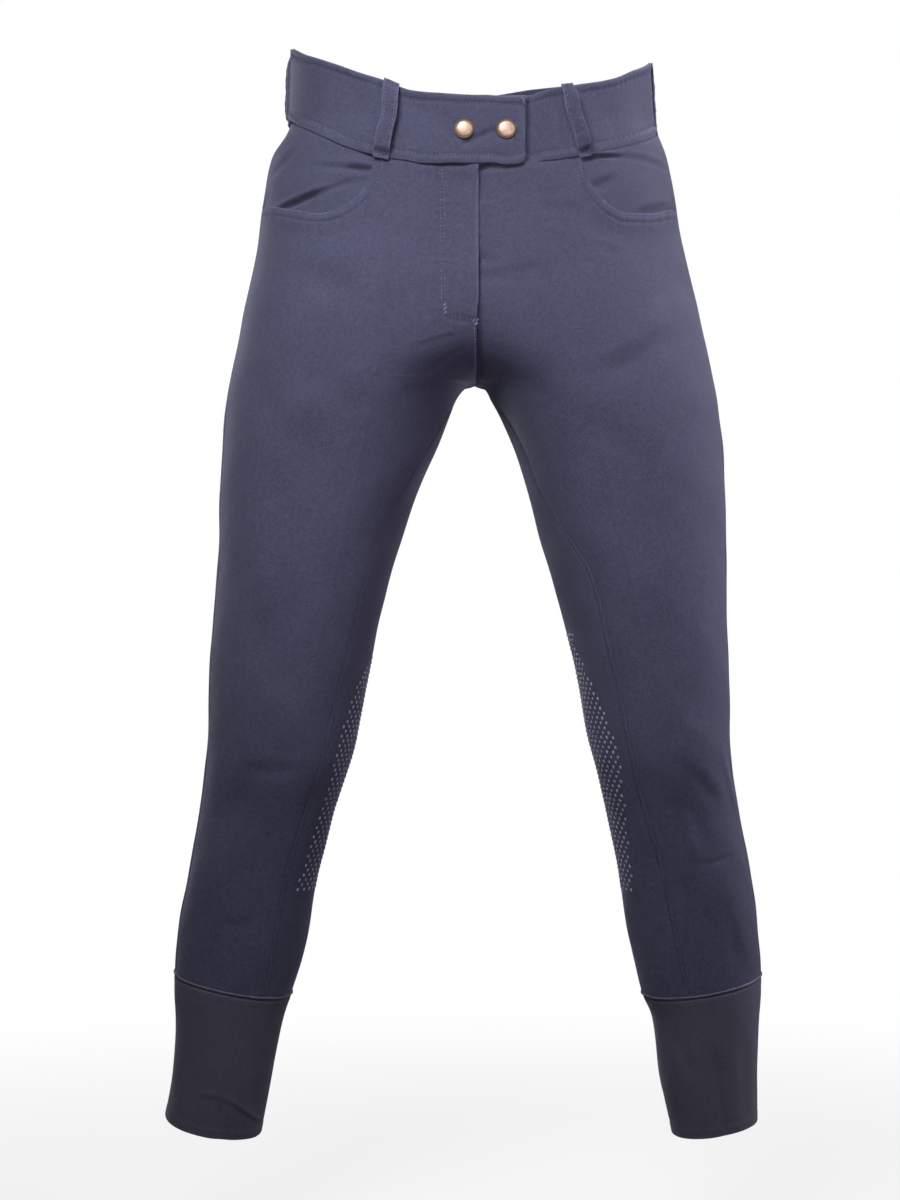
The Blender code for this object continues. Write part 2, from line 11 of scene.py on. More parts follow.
import bmesh
import bpy
import numpy as np
from bpy.props import FloatProperty, FloatVectorProperty, PointerProperty
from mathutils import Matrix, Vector


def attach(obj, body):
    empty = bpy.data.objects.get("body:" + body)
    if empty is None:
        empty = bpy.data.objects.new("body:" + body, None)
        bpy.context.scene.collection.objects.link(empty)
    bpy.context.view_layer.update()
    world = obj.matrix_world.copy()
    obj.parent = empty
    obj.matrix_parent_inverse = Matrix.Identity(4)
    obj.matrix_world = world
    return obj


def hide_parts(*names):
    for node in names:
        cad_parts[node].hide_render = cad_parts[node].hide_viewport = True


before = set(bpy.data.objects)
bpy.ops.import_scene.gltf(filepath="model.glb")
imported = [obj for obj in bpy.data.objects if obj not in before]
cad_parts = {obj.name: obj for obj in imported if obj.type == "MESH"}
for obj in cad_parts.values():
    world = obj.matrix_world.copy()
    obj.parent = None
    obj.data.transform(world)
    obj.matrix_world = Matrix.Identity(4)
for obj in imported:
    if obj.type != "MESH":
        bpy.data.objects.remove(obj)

bl_info = {
    "name": "Riding Breeches",
    "version": (1, 0, 0),
    "blender": (4, 5, 0),
    "location": "3D View > Sidebar > Breeches",
    "description": "Builds the cloth, stitches, grip print and snaps of a pair of riding breeches",
    "category": "Object",
}

MM = 0.001
FAR = 1e3
RIGHT, LEFT = -1, 1
FRONT, BACK = 1, -1
SIDE_NAMES = {RIGHT: "right", LEFT: "left"}
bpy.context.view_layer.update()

# Cloth and seams. A negative gap lets neighbouring pieces overlap a little.
SEAM_GAP = -0.05
BAND_TUCK = 1.2
CUFF_TUCK = 0.8
NEAR_SEAM = 1.0
CALM_BY_BAND = 6.0
FOLDED_EXTRA = 0.7
EDGE_ROUNDNESS = 0.92
# Reach of the painted highlight along the pieces' edges.
HIGHLIGHT_REACH = 1.2

# Ridges along seams and edges: height, distance from the seam or edge, and reach. A negative
# height makes a groove.
BAND_GROOVE = (-0.8, 0.4, 1.6)
INNER_GROOVE = (-0.4, 0.0, 1.5)
OUTSEAM_GROOVE = (-1.7, 0.0, 2.3)
FLAT_SEAM = (-0.45, 3.2, 1.9)
TOP_ROLL = (0.8, 3.2, 2.6)
FOOT_ROLL = (0.85, 3.2, 2.6)
END_ROLL = (0.9, 3.2, 2.6)
CUFF_ROLL = (0.35, 1.2, 1.0)
CUFF_GROOVE = (-0.9, 3.3, 0.9)
HEM_GROOVE = (-0.35, 9.5, 1.2)

# Edges that are turned over: their extra height, their width and the fade behind them.
CUFF_FOLD = (0.2, 7.0, 4.0)
HEM_FOLD = (0.3, 9.0, 3.0)
POCKET_FOLD = (1.0, 6.0, 4.0)

# The form. The legs part at the crotch, and from SPREAD_FROM down each leg's section moves
# out from the midline.
CROTCH = -242.0
SPREAD_FROM = -105.0
SPREAD_POWER = 2.6
LEAST_SPREAD = 0.01
FULLNESS = 0.035

# Distances from the midline to the outer side and to the inside of each leg, depths of the
# front and the back from the middle, and the fullest place as a share of the way outward.
FORM_COLUMNS = ("level", "right_out", "right_in", "left_in", "left_out", "front", "back", "middle",
                "fullest")
FORM_ROWS = (
    (60, 160, 0, 0, 153, 104, 106, 0, 0.01),
    (-15, 163, 0, 0, 157, 107, 112, 0, 0.01),
    (-45, 178, 0, 0, 168, 108, 118, 0, 0.02),
    (-85, 187, 0, 0, 177, 109, 127, 0, 0.12),
    (-125, 192, 0, 0, 183, 110, 132, 0, 0.235),
    (-185, 205, 0, 0, 197, 110, 133, 0, 0.39),
    (CROTCH, 216, 0, 0, 209, 106, 125, 0, 0.5),
    (-242.5, 216.1, 4.4, 3.8, 209.1, 105.9, 124.9, 0, 0.501),
    (-244, 216.5, 8.2, 7.2, 209.5, 105.8, 124.5, 0, 0.503),
    (-247, 217.2, 12, 10.2, 210.2, 105.4, 123.8, 0, 0.508),
    (-255, 218, 18, 14, 212, 105, 122, 0, 0.522),
    (-270, 220, 24, 22, 214, 103, 118, 0, 0.545),
    (-295, 222, 33, 32, 217, 99, 112, 0, 0.575),
    (-360, 225, 59, 52, 220, 92, 102, 0, 0.625),
    (-431, 229, 80, 73, 220, 84, 92, -2, 0.67),
    (-500, 233, 95, 89, 222, 74, 79, -4, 0.702),
    (-565, 237, 107, 102, 225, 66, 67, -3, 0.726),
    (-620, 243, 125, 116, 232, 58, 63, 4, 0.753),
    (-670, 253, 139, 127, 242, 55, 64, 9, 0.768),
    (-720, 262, 147, 134, 250, 52, 60, 12, 0.774),
    (-750, 265, 153, 140, 252, 50, 57, 12, 0.785),
    (-775, 266, 161, 146, 252, 49, 54, 12, 0.797),
    (-800, 265, 169, 156, 251, 47, 51, 12, 0.812),
    (-850, 268, 180, 163, 249, 45, 48, 12, 0.831),
    (-910, 278, 191, 176, 248, 43, 46, 12, 0.85),
)

# The waistband's edges by bearing: 0 at the right side, 90 at the middle of the front, 180 at
# the left side and 270 at the middle of the back.
RIM_COLUMNS = ("bearing", "top", "seam")
RIM_ROWS = (
    (0, 52.5, -11.5),
    (31, 36, -26),
    (44, 25.5, -37),
    (54, 15.5, -48),
    (62, 8, -55),
    (70, -1, -60),
    (79, -5, -63.5),
    (90, -7, -64.5),
    (104, -6, -62.5),
    (116, 2, -58),
    (125, 6, -52.5),
    (137, 13.5, -44.5),
    (150, 25, -35),
    (180, 40.5, -21.5),
    (225, 40, -25),
    (248, 37.5, -28.5),
    (270, 31.2, -31),
    (315, 44, -19),
)

# The waistband's lap: its right end is lifted over its left end, hangs a little lower and ends
# upright as a tab. The strip's bearings run on past 360: those over LAP_BEARING are on the lap,
# and LAP_MIDDLE is the middle of the front. TURN_DEGREES is about a radian, for the stitches.
TAB_END = 42.0
TAB_DROP = 2.5
TAB_DROP_BEARING = 92.0
TAB_DROP_TURN = 7.0
TAB_RADIUS = 155.0
TAB_CORNER = 6.5
UNDERLAP_END = -24.0
LAP_RAMP = (-56.0, -30.0)
LAP_BEARING = 400.0
LAP_MIDDLE = 450.0
LAP_DROP = (433.5, 443.0)
LAP_DROP_TURNS = (4.0, 2.5)
LAP_DROP_DEPTH = 1.0
LAP_CLEARANCE = 0.6
UPRIGHT_TURN = 9.0
TAB_CLEAR = 6.0
BAND_STAND = 0.6
TURN_DEGREES = 57

# Slow unevenness of the waistband: waves in a turn, their start, their length down and height.
BAND_WAVE_ROWS = ((5, 1, math.inf, 0.35), (9, 0, 21, 0.25), (14, 0, math.inf, 0.2))

# The fly: the right front laps over the left front, down to FLY_FOOT. FLY_SHARES is the part of
# a front's columns that is shifted for it: where it begins and how wide it is.
FLY_EDGE = 1.5
FLY_UNDERLAP = -3.0
FLY_LIFT = 3.0
FLY_RAMP = 12.0
FLY_FLAT = 2.0
FLY_FOOT = -190.0
FLY_FADE = 14.0
FLY_SHARES = (0.9, 0.1)

# The folded edge below the fly: its height, and where it begins and how fast at edge and foot.
WELT_HEIGHT = 0.9
WELT_EDGE = (7.0, 4.0)
WELT_FOOT = (4.0, 10.0)

# The outseam between front and back lies a little in front of the form's widest place, and the
# inner seam runs down the inside of the front of each leg. Both are given by angle.
OUTSEAM = 8.0
OUTSEAM_FORWARD = 6.5
OUTSEAM_TURN = (-125.0, -330.0)
INNER_FADE = (8.0, 20.0)
INNER_SEAM_COLUMNS = ("level", "right", "left")
INNER_SEAM_ROWS = (
    (CROTCH, 180, 180),
    (-266, 170, 169),
    (-300, 158, 158),
    (-335, 148, 151),
    (-365, 141, 141),
    (-405, 137, 128),
    (-455, 136, 124),
    (-530, 131, 120),
    (-600, 125, 117),
    (-680, 122, 112),
    (-735, 121, 108),
    (-785, 125, 106),
)

# Angles that the panels' inner columns keep to near the crotch, where the midline turns under.
GUIDE_COLUMNS = ("level", "front", "back")
GUIDE_ROWS = (
    (-105, 90.5, 269.5),
    (-160, 103, 255),
    (-200, 120, 236),
    (CROTCH, 141, 210),
    (-270, 149, 186),
    (-300, 151, 167),
    (-335, 149, 150),
)
GUIDE_POWER = 6

# Cuff seam and hem of each leg: level at the outer side, at the inside and the front's dip.
RING_COLUMNS = ("outer", "inner", "dip")
CUFF_LEVEL = -768.0
CUFF_SEAMS = {RIGHT: (-757, -777, 4.5), LEFT: (-759, -777, 4.5)}
HEMS = {RIGHT: (-885, -901, 5.5), LEFT: (-889, -902, 2.5)}

# Pocket mouths, from the waistband seam to the outseam, by distance from the midline. The
# columns of the front stay upright there, so that they meet the mouth squarely.
MOUTH_COLUMNS = ("across", "level")
MOUTHS = {
    RIGHT: ((85, -53), (88, -65), (92, -78), (97, -87), (105, -94), (116, -101), (131, -104),
            (155, -99), (176, -92), (188, -88)),
    LEFT: ((88, -53), (91, -66), (95, -78), (103, -90), (113, -99), (125, -104), (148, -102),
           (165, -96), (180, -90)),
}
MOUTH_STEPS = 120
MOUTH_REACH = (-160.0, -40.0)
POCKET_LEVEL = -80.0
POCKET_UNDERLAP = 10.0
POCKET_BLEND = 22.0
POCKET_GAPE = 2.0
POCKET_FADE = 20.0
POCKET_UPRIGHT = (45.0, 30.0)
POCKET_OUTER = 10.0
POCKET_DOWN = 24.0
STEEP_WIDTH = 8.0
FACING_CLEARANCE = 0.4
FACING_END = 0.76
FACING_DEPTH = 60.0
FACING_BLEND = 4.0
FACING_SHARES = (0.15, 0.2)
FACING_FADE = 6.0

# Creases: soft troughs between two places, bent towards a third. Each is given by the face it
# is seen on, distances from the midline and levels, its depth, how far it reaches to each side,
# the height of the ridge beside it (above it, or on its outer side) and how sharp it is. Where
# the last two aren't said, there is no ridge and the crease is SOFT. A negative depth makes a
# swelling or a pressed edge.
CREASE_COLUMNS = ("face", "from_across", "from_level", "by_across", "by_level", "to_across",
                  "to_level", "depth", "reach", "ridge", "sharp")
SOFT, PRESSED = 2.0, 1.1
CREASE_ROWS = {
    RIGHT: (
        # Hip and fly.
        (FRONT, 60, -66, 26, -69, -14, -70, -1.1, 4.5),
        (FRONT, 134, -139, 110, -134, 86, -140, -1.3, 15),
        (FRONT, 158, -146, 128, -160, 94, -186, 1.7, 10, 0.6),
        (FRONT, 54, -148, 62, -190, 76, -262, 1.0, 8, 0.2),
        (FRONT, 67, -150, 100, -330, 153, -548, -0.5, 2.2, 0, PRESSED),
        (FRONT, 56, -217, 36, -207, 12, -203, -0.9, 1.7),
        (FRONT, 56, -221, 36, -211, 12, -207, 0.6, 2.0),
        (FRONT, 28, -194.5, 14, -196, 1, -197.5, 0.9, 1.5),
        (FRONT, 50, -192, 40, -189, 30, -190, 0.7, 2.6, 0.2),
        (FRONT, 42, -242, 26, -224, 8, -216, 1.3, 2.6, 0.9),
        (FRONT, 74, -262, 50, -256, 28, -240, 0.25, 7, 0.1),
        (FRONT, 3.4, -190, 3.2, -216, 3.2, -246, -0.9, 1.3),
        (FRONT, 150, -240, 120, -252, 84, -280, 1.1, 11, 0.4),
        (FRONT, 196, -230, 176, -262, 164, -310, 1.0, 10, 0.3),
        # Thigh and knee.
        (FRONT, 208, -380, 190, -430, 186, -490, 1.2, 11, 0.3),
        (FRONT, 120, -400, 108, -440, 112, -500, 0.9, 10, 0.2),
        (FRONT, 166, -498, 160, -530, 154, -566, -1.5, 13),
        (FRONT, 226, -560, 224, -610, 230, -668, -1.2, 11),
        (FRONT, 146, -574, 176, -584, 208, -572, 0.9, 7, 0.4),
        # Calf.
        (FRONT, 203, -566, 207, -650, 216, -752, 1.7, 8, 0.5),
        (FRONT, 182, -610, 176, -650, 184, -700, 0.9, 8, 0.3),
        (FRONT, 190, -706, 204, -716, 222, -712, 0.7, 5, 0.3),
        # Seat, back of the knee and calf.
        (BACK, 30, -178, 70, -196, 128, -190, 2.4, 7.9, 0.8),
        (BACK, 24, -262, 66, -250, 120, -262, 3.9, 7.2, 1.5),
        (BACK, 44, -300, 88, -292, 150, -312, 2.7, 7.9, 0.9),
        (BACK, 178, -120, 160, -150, 150, -200, 2, 7.9, 0.6),
        (BACK, 110, -468, 150, -482, 206, -466, 2.8, 6.5, 1.2),
        (BACK, 120, -512, 160, -528, 214, -518, 3.6, 5.8, 1.5),
        (BACK, 132, -556, 170, -548, 200, -560, 2.2, 5, 0.9),
        (BACK, 150, -380, 140, -420, 152, -470, -1, 4, 0, PRESSED),
        (BACK, 182, -600, 186, -660, 200, -740, -1, 4, 0, PRESSED),
        (BACK, 226, -620, 214, -660, 220, -720, 2.1, 6.5, 0.6),
    ),
    LEFT: (
        # Hip and fly.
        (FRONT, 3.2, -5, 3.0, -100, 2.4, -208, 4.2, 2.3),
        (FRONT, 2.4, -176, 2.2, -215, 2.2, -264, 2.0, 1.8),
        (FRONT, -22, -68, 8, -68.5, 44, -66, 1.7, 2.6),
        (FRONT, 11, -165, 36, -159, 64, -147, 1.0, 5.5, 0.4),
        (FRONT, 48, -101, 70, -104, 92, -101, 0.8, 5, 0.2),
        (FRONT, 84, -134, 104, -133, 124, -139, 1.2, 4, 0.4),
        (FRONT, 31, -150, 40, -151, 48, -155, 0.9, 3.2, 0.3),
        (FRONT, 174, -197, 150, -222, 94, -250, 2.2, 8.5, 1.0),
        (FRONT, 71, -139, 110, -330, 162, -544, -0.7, 2.2, 0, PRESSED),
        (FRONT, 12, -214, 24, -222, 40, -238, 0.3, 6, 0.1),
        (FRONT, 26, -244, 46, -256, 70, -260, 0.2, 7, 0.1),
        (FRONT, 186, -150, 170, -160, 150, -186, 1.2, 10, 0.4),
        (FRONT, 190, -262, 168, -282, 160, -330, 1.1, 11, 0.4),
        # Thigh and knee.
        (FRONT, 196, -390, 180, -440, 178, -500, 1.1, 11, 0.3),
        (FRONT, 96, -380, 100, -430, 108, -480, 1.0, 10, 0.3),
        (FRONT, 186, -528, 180, -552, 176, -576, -1.4, 11),
        (FRONT, 180, -575, 196, -592, 215, -612, 0.8, 7.5, 0.5),
        (FRONT, 208, -548, 222, -590, 233, -640, -1.1, 5),
        # Calf.
        (FRONT, 180, -609, 184, -630, 190, -658, -1.1, 5),
        (FRONT, 189, -660, 210, -659, 230, -650, 0.6, 2.6, 0.2),
        (FRONT, 188, -655, 186, -710, 190, -762, 1.4, 5.5, 0.6),
        (FRONT, 146, -600, 152, -640, 150, -690, 0.9, 8, 0.3),
        (FRONT, 214, -690, 224, -720, 226, -752, 0.9, 7, 0.3),
        # Seat, back of the knee and calf.
        (BACK, 26, -186, 74, -190, 120, -204, 2.2, 7.9, 0.8),
        (BACK, 22, -258, 70, -256, 126, -250, 3.6, 6.5, 1.5),
        (BACK, 50, -306, 96, -300, 144, -290, 2.8, 7.2, 0.9),
        (BACK, 168, -128, 152, -160, 146, -196, 1.8, 7.2, 0.6),
        (BACK, 104, -476, 144, -470, 196, -486, 2.7, 6.5, 1),
        (BACK, 112, -520, 156, -530, 206, -512, 3.4, 5.8, 1.5),
        (BACK, 128, -560, 160, -570, 190, -562, 2.1, 5, 0.8),
        (BACK, 144, -390, 138, -430, 146, -470, -1, 4, 0, PRESSED),
        (BACK, 174, -604, 178, -660, 188, -744, -1, 4, 0, PRESSED),
        (BACK, 216, -610, 206, -650, 212, -730, 2, 6.5, 0.6),
    ),
}
CUFF_CREASE_ROWS = {
    RIGHT: (
        (FRONT, 212, -790, 216, -850, 219, -935, 1.7, 7, 0, PRESSED),
        (FRONT, 246, -864, 228, -864, 214, -870, 0.25, 2.6, 0.4),
        (FRONT, 222, -866, 206, -874, 188, -895, 0.3, 2.4, 0.8),
        (FRONT, 221, -866, 222, -882, 224, -925, 0.9, 4.5, 0.2),
        (FRONT, 250, -800, 246, -840, 250, -880, 0.9, 6, 0.3),
        (FRONT, 196, -800, 190, -840, 200, -880, 0.8, 6, 0.3),
        (BACK, 222, -780, 224, -840, 226, -912, -1.4, 4, 0, PRESSED),
        (BACK, 196, -830, 220, -842, 250, -838, 1.8, 4.3, 0.8),
    ),
    LEFT: (
        (FRONT, 206, -810, 212, -860, 220, -935, 1.5, 7, 0, PRESSED),
        (FRONT, 165, -862, 168, -880, 173, -896, 1.1, 3.5, 0.5),
        (FRONT, 236, -800, 232, -840, 236, -890, 1.0, 6, 0.3),
        (FRONT, 176, -800, 180, -830, 190, -850, 0.9, 6, 0.3),
        (BACK, 206, -780, 208, -840, 212, -912, -1.4, 4, 0, PRESSED),
        (BACK, 186, -850, 210, -838, 236, -846, 1.8, 4.3, 0.8),
    ),
}
FACING_CREASE_ROWS = {
    RIGHT: (
        (FRONT, 205, -110, 165, -95, 120, -82, 4.0, 2.9, 2.4),
        (FRONT, 152, -90, 128, -84, 102, -77, 1.2, 2.8, 0.7),
        (FRONT, 132, -80, 110, -77, 84, -78, 1.2, 5, 0.8),
        (FRONT, 118, -66, 92, -67.5, 60, -71, 3.2, 3.0, 0.9),
        (FRONT, 142, -62, 120, -65, 86, -68, 1.3, 3.6, 0.6),
        (FRONT, 182, -66, 172, -58, 150, -42, 1.2, 5, 0.5),
    ),
    LEFT: (
        (FRONT, 80, -93, 98, -85, 122, -70, 2.6, 4.0, 1.2),
        (FRONT, 56, -67.5, 94, -54.5, 130, -54.5, 3.6, 2.0, 2.4),
        (FRONT, 108, -56, 142, -52.5, 172, -60, 0.6, 3.4, 0.9),
        (FRONT, 132, -110, 158, -96, 188, -91, 5.0, 5.0, 1.0),
    ),
}
CREASE_STEPS = 14
CREASE_TAPER = 0.3
CREASE_WINDOW = 4
RIDGE_SHIFT = 1.6
RIDGE_LEAN = 0.3

# Folds of the waistband's front, by distance to the wearer's left and level.
BAND_CREASE_COLUMNS = ("from_x", "from_level", "to_x", "to_level", "depth", "reach")
BAND_CREASE_ROWS = (
    (-62, -8, -28, -30, 1.6, 11),
    (-67, 14, -74, -50, 2.0, 3.4),
    (14, -38, -10, -47.5, 2.0, 2.7),
    (4, -33, 10, -16, -0.9, 8),
    (10, -50, 26, -47, -0.9, 5),
    (18, -60, 24, -58, 0.8, 3),
    (45.2, -2, 45.2, -64, 5.5, 4.4),
    (50, -6, 50.5, -56, 2.4, 4.6),
    (57, -8, 58, -52, 0.9, 4.5),
    (67, -2, 72, -46, 1.6, 3.8),
    (96, 0, 118, -30, 0.8, 10),
    (-110, 12, -88, -30, 0.8, 9),
)

# Slow unevenness of the cloth: turns round a leg, length of a wave down it and its height.
WAVE_COLUMNS = ("turns", "length", "height")
WAVE_ROWS = ((2, 210, 0.5), (3, 150, 0.36), (4, -120, 0.28), (5, 95, 0.2), (6, -76, 0.17), (9, 58, 0.11),
             (11, -44, 0.08))
WAVE_SEED = 7
WAVE_SWAY = 0.6
WAVE_SWAY_LENGTH = 170.0

# Ribs and waves of the cuffs' jersey.
CUFF_RIBS = 64
RIB_HEIGHT = 0.18
RIB_REACH = 16.0
RIB_SWAY = 0.8
RIB_SWAY_LENGTH = 13.0
CUFF_WAVES = 0.6

# Belt loops: bearing of the upper and the lower end, clear gap behind the strip, its width and
# how far one edge turns out over the other half-way down.
LOOP_COLUMNS = ("top_bearing", "foot_bearing", "gap", "width", "twist")
LOOPS = {
    "belt_loop_front_right": (64.4, 65.4, 7.0, 13.6, 0.6),
    "belt_loop_front_left": (118.5, 120.5, 7.0, 10.6, 2.8),
    "belt_loop_side_right": (354.0, 354.0, 3.4, 13.0, -3.1),
    "belt_loop_side_left": (186.0, 186.0, 2.0, 13.0, 1.7),
    "belt_loop_back": (270.0, 270.0, 6.2, 13.0, 0.4),
}
LOOP_PATH_COLUMNS = ("share", "rise")
LOOP_PATH = ((0.0, -0.1), (0.045, 0.06), (0.14, 0.75), (0.26, 1.0), (0.5, 1.0), (0.74, 1.0),
             (0.86, 0.75), (0.95, 0.06), (1.0, 0.06))
LOOP_OVER_TOP = 1.9
LOOP_BELOW_SEAM = 2.0
LOOP_CLOTH = 1.6
LOOP_STAND = 0.3
LOOP_SLACK = 0.5
LOOP_STITCH = 2.6
LOOP_WAVE = (0.2, 23.0)
LOOP_SIZE = (64.0, 60)
LOOP_COLUMN_COUNT = 8
LOOP_END_ROWS = 3
LOOP_TACK_ROW = 9

# Snap caps on the tab: two places and a turned profile of radius and height.
SNAP_LEVEL = -36.0
SNAP_ACROSS = {"snap_cap_right": -10.5, "snap_cap_left": 24.5}
SNAP_SEAT = 4.0
SNAP_PROFILE = ((0, -0.3), (7.4, -0.3), (7.9, -0.1), (8.2, 0.3), (8.25, 0.7), (8.05, 1.15),
                (7.75, 1.35), (7.4, 1.38), (7.1, 1.25), (6.95, 1.3), (6.75, 1.55), (6.2, 1.95),
                (5.4, 2.3), (4.3, 2.58), (3.0, 2.78), (1.6, 2.91), (0.6, 2.95))
SNAP_CROWN = 2.97
SNAP_SIDES = 72
SNAP_GROOVE = (6.2, 0.8)
SNAP_PRESS = (1.1, 9.0)

# Rows of stitches: distances from the edges that they follow, and where rows on seams begin and
# end by the crotch, the waistband and the fly.
MOUTH_STITCHES = (1.6, 7.6)
BAND_STITCH = 7.2
INNER_STITCH = 3.2
INNER_SLANT = 52.0
CENTRE_STITCH = 2.2
CUFF_STITCH = 1.2
FLY_STITCHES = (0.0, 2.8)
FLY_STITCH_ROUTE = ((-29.5, -68), (-27.4, -92), (-27.2, -135), (-26.6, -182))
FLY_TACKS = (((-26.8, -181), (-26.4, -191.5)), ((-3.5, -194), (0.8, -199)), ((0.6, -193.5), (-1.6, -199.5)))
TACK_ROWS = (-0.8, -0.4, 0.0, 0.4, 0.8)
FLY_FOOT_ROUTE = ((-25.5, -192.2), (-14, -193.6), (-0.5, -195.2))
INNER_ROW_START = 24
INNER_ROW_STEPS = 260
BACK_ROW_ENDS = (3, 10)
BACK_ROW_STEPS = 120
FRONT_ROW_ENDS = (10, 8)
FRONT_ROW_STEPS = 30
THREAD_TONES = {"Navy thread": 1.0, "Dark navy thread": 0.42, "Pale navy thread": 1.9}
STITCH_DIP = 0.72
STITCH_DIP_REACH = 1.3
PUCKER_HEIGHT = 0.16
PUCKER_LENGTH = 7.5
PUCKER_REACH = 4.0
PUCKER_SWAY = 1.3
PUCKER_SWAY_LENGTH = 19.0
ROUTE_STEP = 1.5

# One stitch, as shares of its width or length, and how unevenly the stitches lie.
STITCH_SIDES = 6
STITCH_RINGS = (-0.36, 0.0, 0.36)
STITCH_SINK = 0.4
STITCH_RISE = 0.28
STITCH_ARCH = 1.6
STITCH_TAPER = 0.6
STITCH_TILT = 4
STITCH_STAND = (0.06, 0.04)
ZIGZAG_CLOSER = 1.9

# The grip print's front edge on the inside of each leg by level, as distance from the midline.
GRIP_COLUMNS = ("level", "right", "left")
GRIP_ROWS = ((-470, 90, 85), (-490, 95, 94), (-504, 102, 100), (-540, 114, 115), (-583, 125, 126),
             (-622, 138, 131), (-656, 148, 135), (-686, 157, 138))
GRIP_ENDS = {RIGHT: (-482.0, -686.0), LEFT: (-462.0, -686.0)}
GRIP_BACK_ANGLE = 232.0
GRIP_CORNER = 40.0
GRIP_BACK_CORNER = 0.5
GRIP_SEED = 40
GRIP_SPAN = 60

# One silicone dot: length and breadth to its width, its rings' shares and heights, its top.
DOT_SIDES = 10
DOT_SHAPE = (1.12, 0.9)
DOT_PROFILE = ((1.0, -0.1), (0.94, 0.28), (0.6, 0.5))
DOT_CROWN = 0.55
DOT_SINK = 0.05
DOT_UNEVENNESS = 0.06

# Grids: how many rows and columns, how far apart, and where they lie closer together.
ANGLE_ROUNDS = 6
TOP_ROUNDS = 5
EDGE_STEPS = (0, 0.15, 0.4, 0.75, 1.2, 1.8, 2.6, 3.6)
PANEL_COLUMNS = 104
PANEL_WIDTH = 185.0
HEAD_ROWS = 44
TOP_LEVEL = -135.0
FOOT_LEVEL = -735.0
ROW_PITCH = 2.0
FINE_PITCH = 0.6
FINE_REACH = 9.0
FOOT_ROWS = 18
MOUTH_EXTRA = 9
INNER_EVERY = (3, 2)
EVEN_EVERY = (2, 2)
FACING_STEPS = 84
BAND_END_STEPS = (0, 0.05, 0.13, 0.25, 0.4, 0.6, 0.85, 1.15, 1.5, 1.95, 2.45)
BAND_START_STEPS = 8
BAND_EVEN = (1.7, 3.0, 640)
BAND_SIZE = (60.0, 42)
BAND_RUN_STEPS = 900
TAB_RUN_STEPS = 40
CUFF_STEPS = 168
CUFF_START = 150
CUFF_SIZE = (125.0, 84)
CUFF_FINE = (4.2, 12.5, 0.6)

# The turn above the crotch is evened out: over this length, around this level, and up to this
# share of a panel's width from its inner edge.
SOFTENING = 12.0
SOFT_BELOW = 6.0
SOFT_REACH = 34.0
SOFT_SHARE = 0.14

# Cloths: colour, its shade, weave pitch, contrast, roughness, sheen and depth of the weave.
CLOTH_COLUMNS = ("colour", "shade", "pitch", "contrast", "roughness", "sheen", "depth")
CLOTHS = {
    "Slate stretch twill": ("cloth_colour", 1.0, 1.0, 0.36, 0.86, 1.0, 0.00022),
    "Slate pocket twill": ("cloth_colour", 0.97, 1.0, 0.34, 0.86, 1.0, 0.0002),
    "Cuff jersey": ("cuff_colour", 1.0, 0.8, 0.22, 0.8, 0.8, 0.00012),
}
ROUGHNESS_SPREAD = 0.12
SHEEN_TINT = (0.82, 0.8, 1.0, 1.0)
FINE_RELIEF = 0.0001
BRASS_IN_GROOVE = (0.42, 0.33, 0.26)
WHITE = (1, 1, 1, 1)

# Lights: place, target, size, width of the beam in degrees and colour.
LIGHTS = {
    "front": ((-0.26, -0.9, 0.47), (0.0, 0, -0.33), 0.46, 78, (0.97, 1.0, 1.0)),
    "left": ((1.3, 0.1, 0.35), (0.15, 0, -0.2), 0.8, 110, (0.96, 0.98, 1.0)),
    "right": ((-1.3, -0.1, 0.45), (-0.15, 0, -0.12), 0.6, 60, (0.97, 1.0, 1.0)),
    "low": ((0.5, -1.1, -0.32), (-0.02, 0, -0.27), 0.6, 50, (1.0, 0.9, 0.97)),
    "back": ((0.0, 1.5, -0.3), (0, 0, -0.35), 2.4, 180, (0.78, 0.82, 1.0)),
}
FLOOR_LEVEL = -1.0
FLOOR_FADE = (0.45, 1.5)


def table(columns, rows):
    """The rows as one array for each named column, ordered by the first one."""
    ordered = sorted(rows, key=lambda row: row[0])
    return dict(zip(columns, np.array(ordered, dtype=float).T))


def named(columns, row):
    """One row of a table by its columns' names."""
    return dict(zip(columns, row))


def paired(first, second):
    """Two values as arrays of one shape."""
    return np.broadcast_arrays(np.asarray(first, float), np.asarray(second, float))


def summed(steps):
    """Distances along a run from its steps."""
    return np.concatenate(([0], np.cumsum(steps)))


def taken(at, along, values):
    """The values of a run at some distances along it."""
    return np.stack([np.interp(at, along, column) for column in values.T], axis=1)


def chosen_sizes():
    """The sizes set in the sidebar."""
    return bpy.context.scene.breeches_sizes


def chosen_finish():
    """The finishes set in the sidebar."""
    return bpy.context.scene.breeches_finish


FORM = table(FORM_COLUMNS, FORM_ROWS)
RIM = table(RIM_COLUMNS, RIM_ROWS)
INNER_SEAM = table(INNER_SEAM_COLUMNS, INNER_SEAM_ROWS)
GUIDE = table(GUIDE_COLUMNS, GUIDE_ROWS)
MOUTH = {side: table(MOUTH_COLUMNS, rows) for side, rows in MOUTHS.items()}
GRIP = table(GRIP_COLUMNS, GRIP_ROWS)


# The form and the cut.


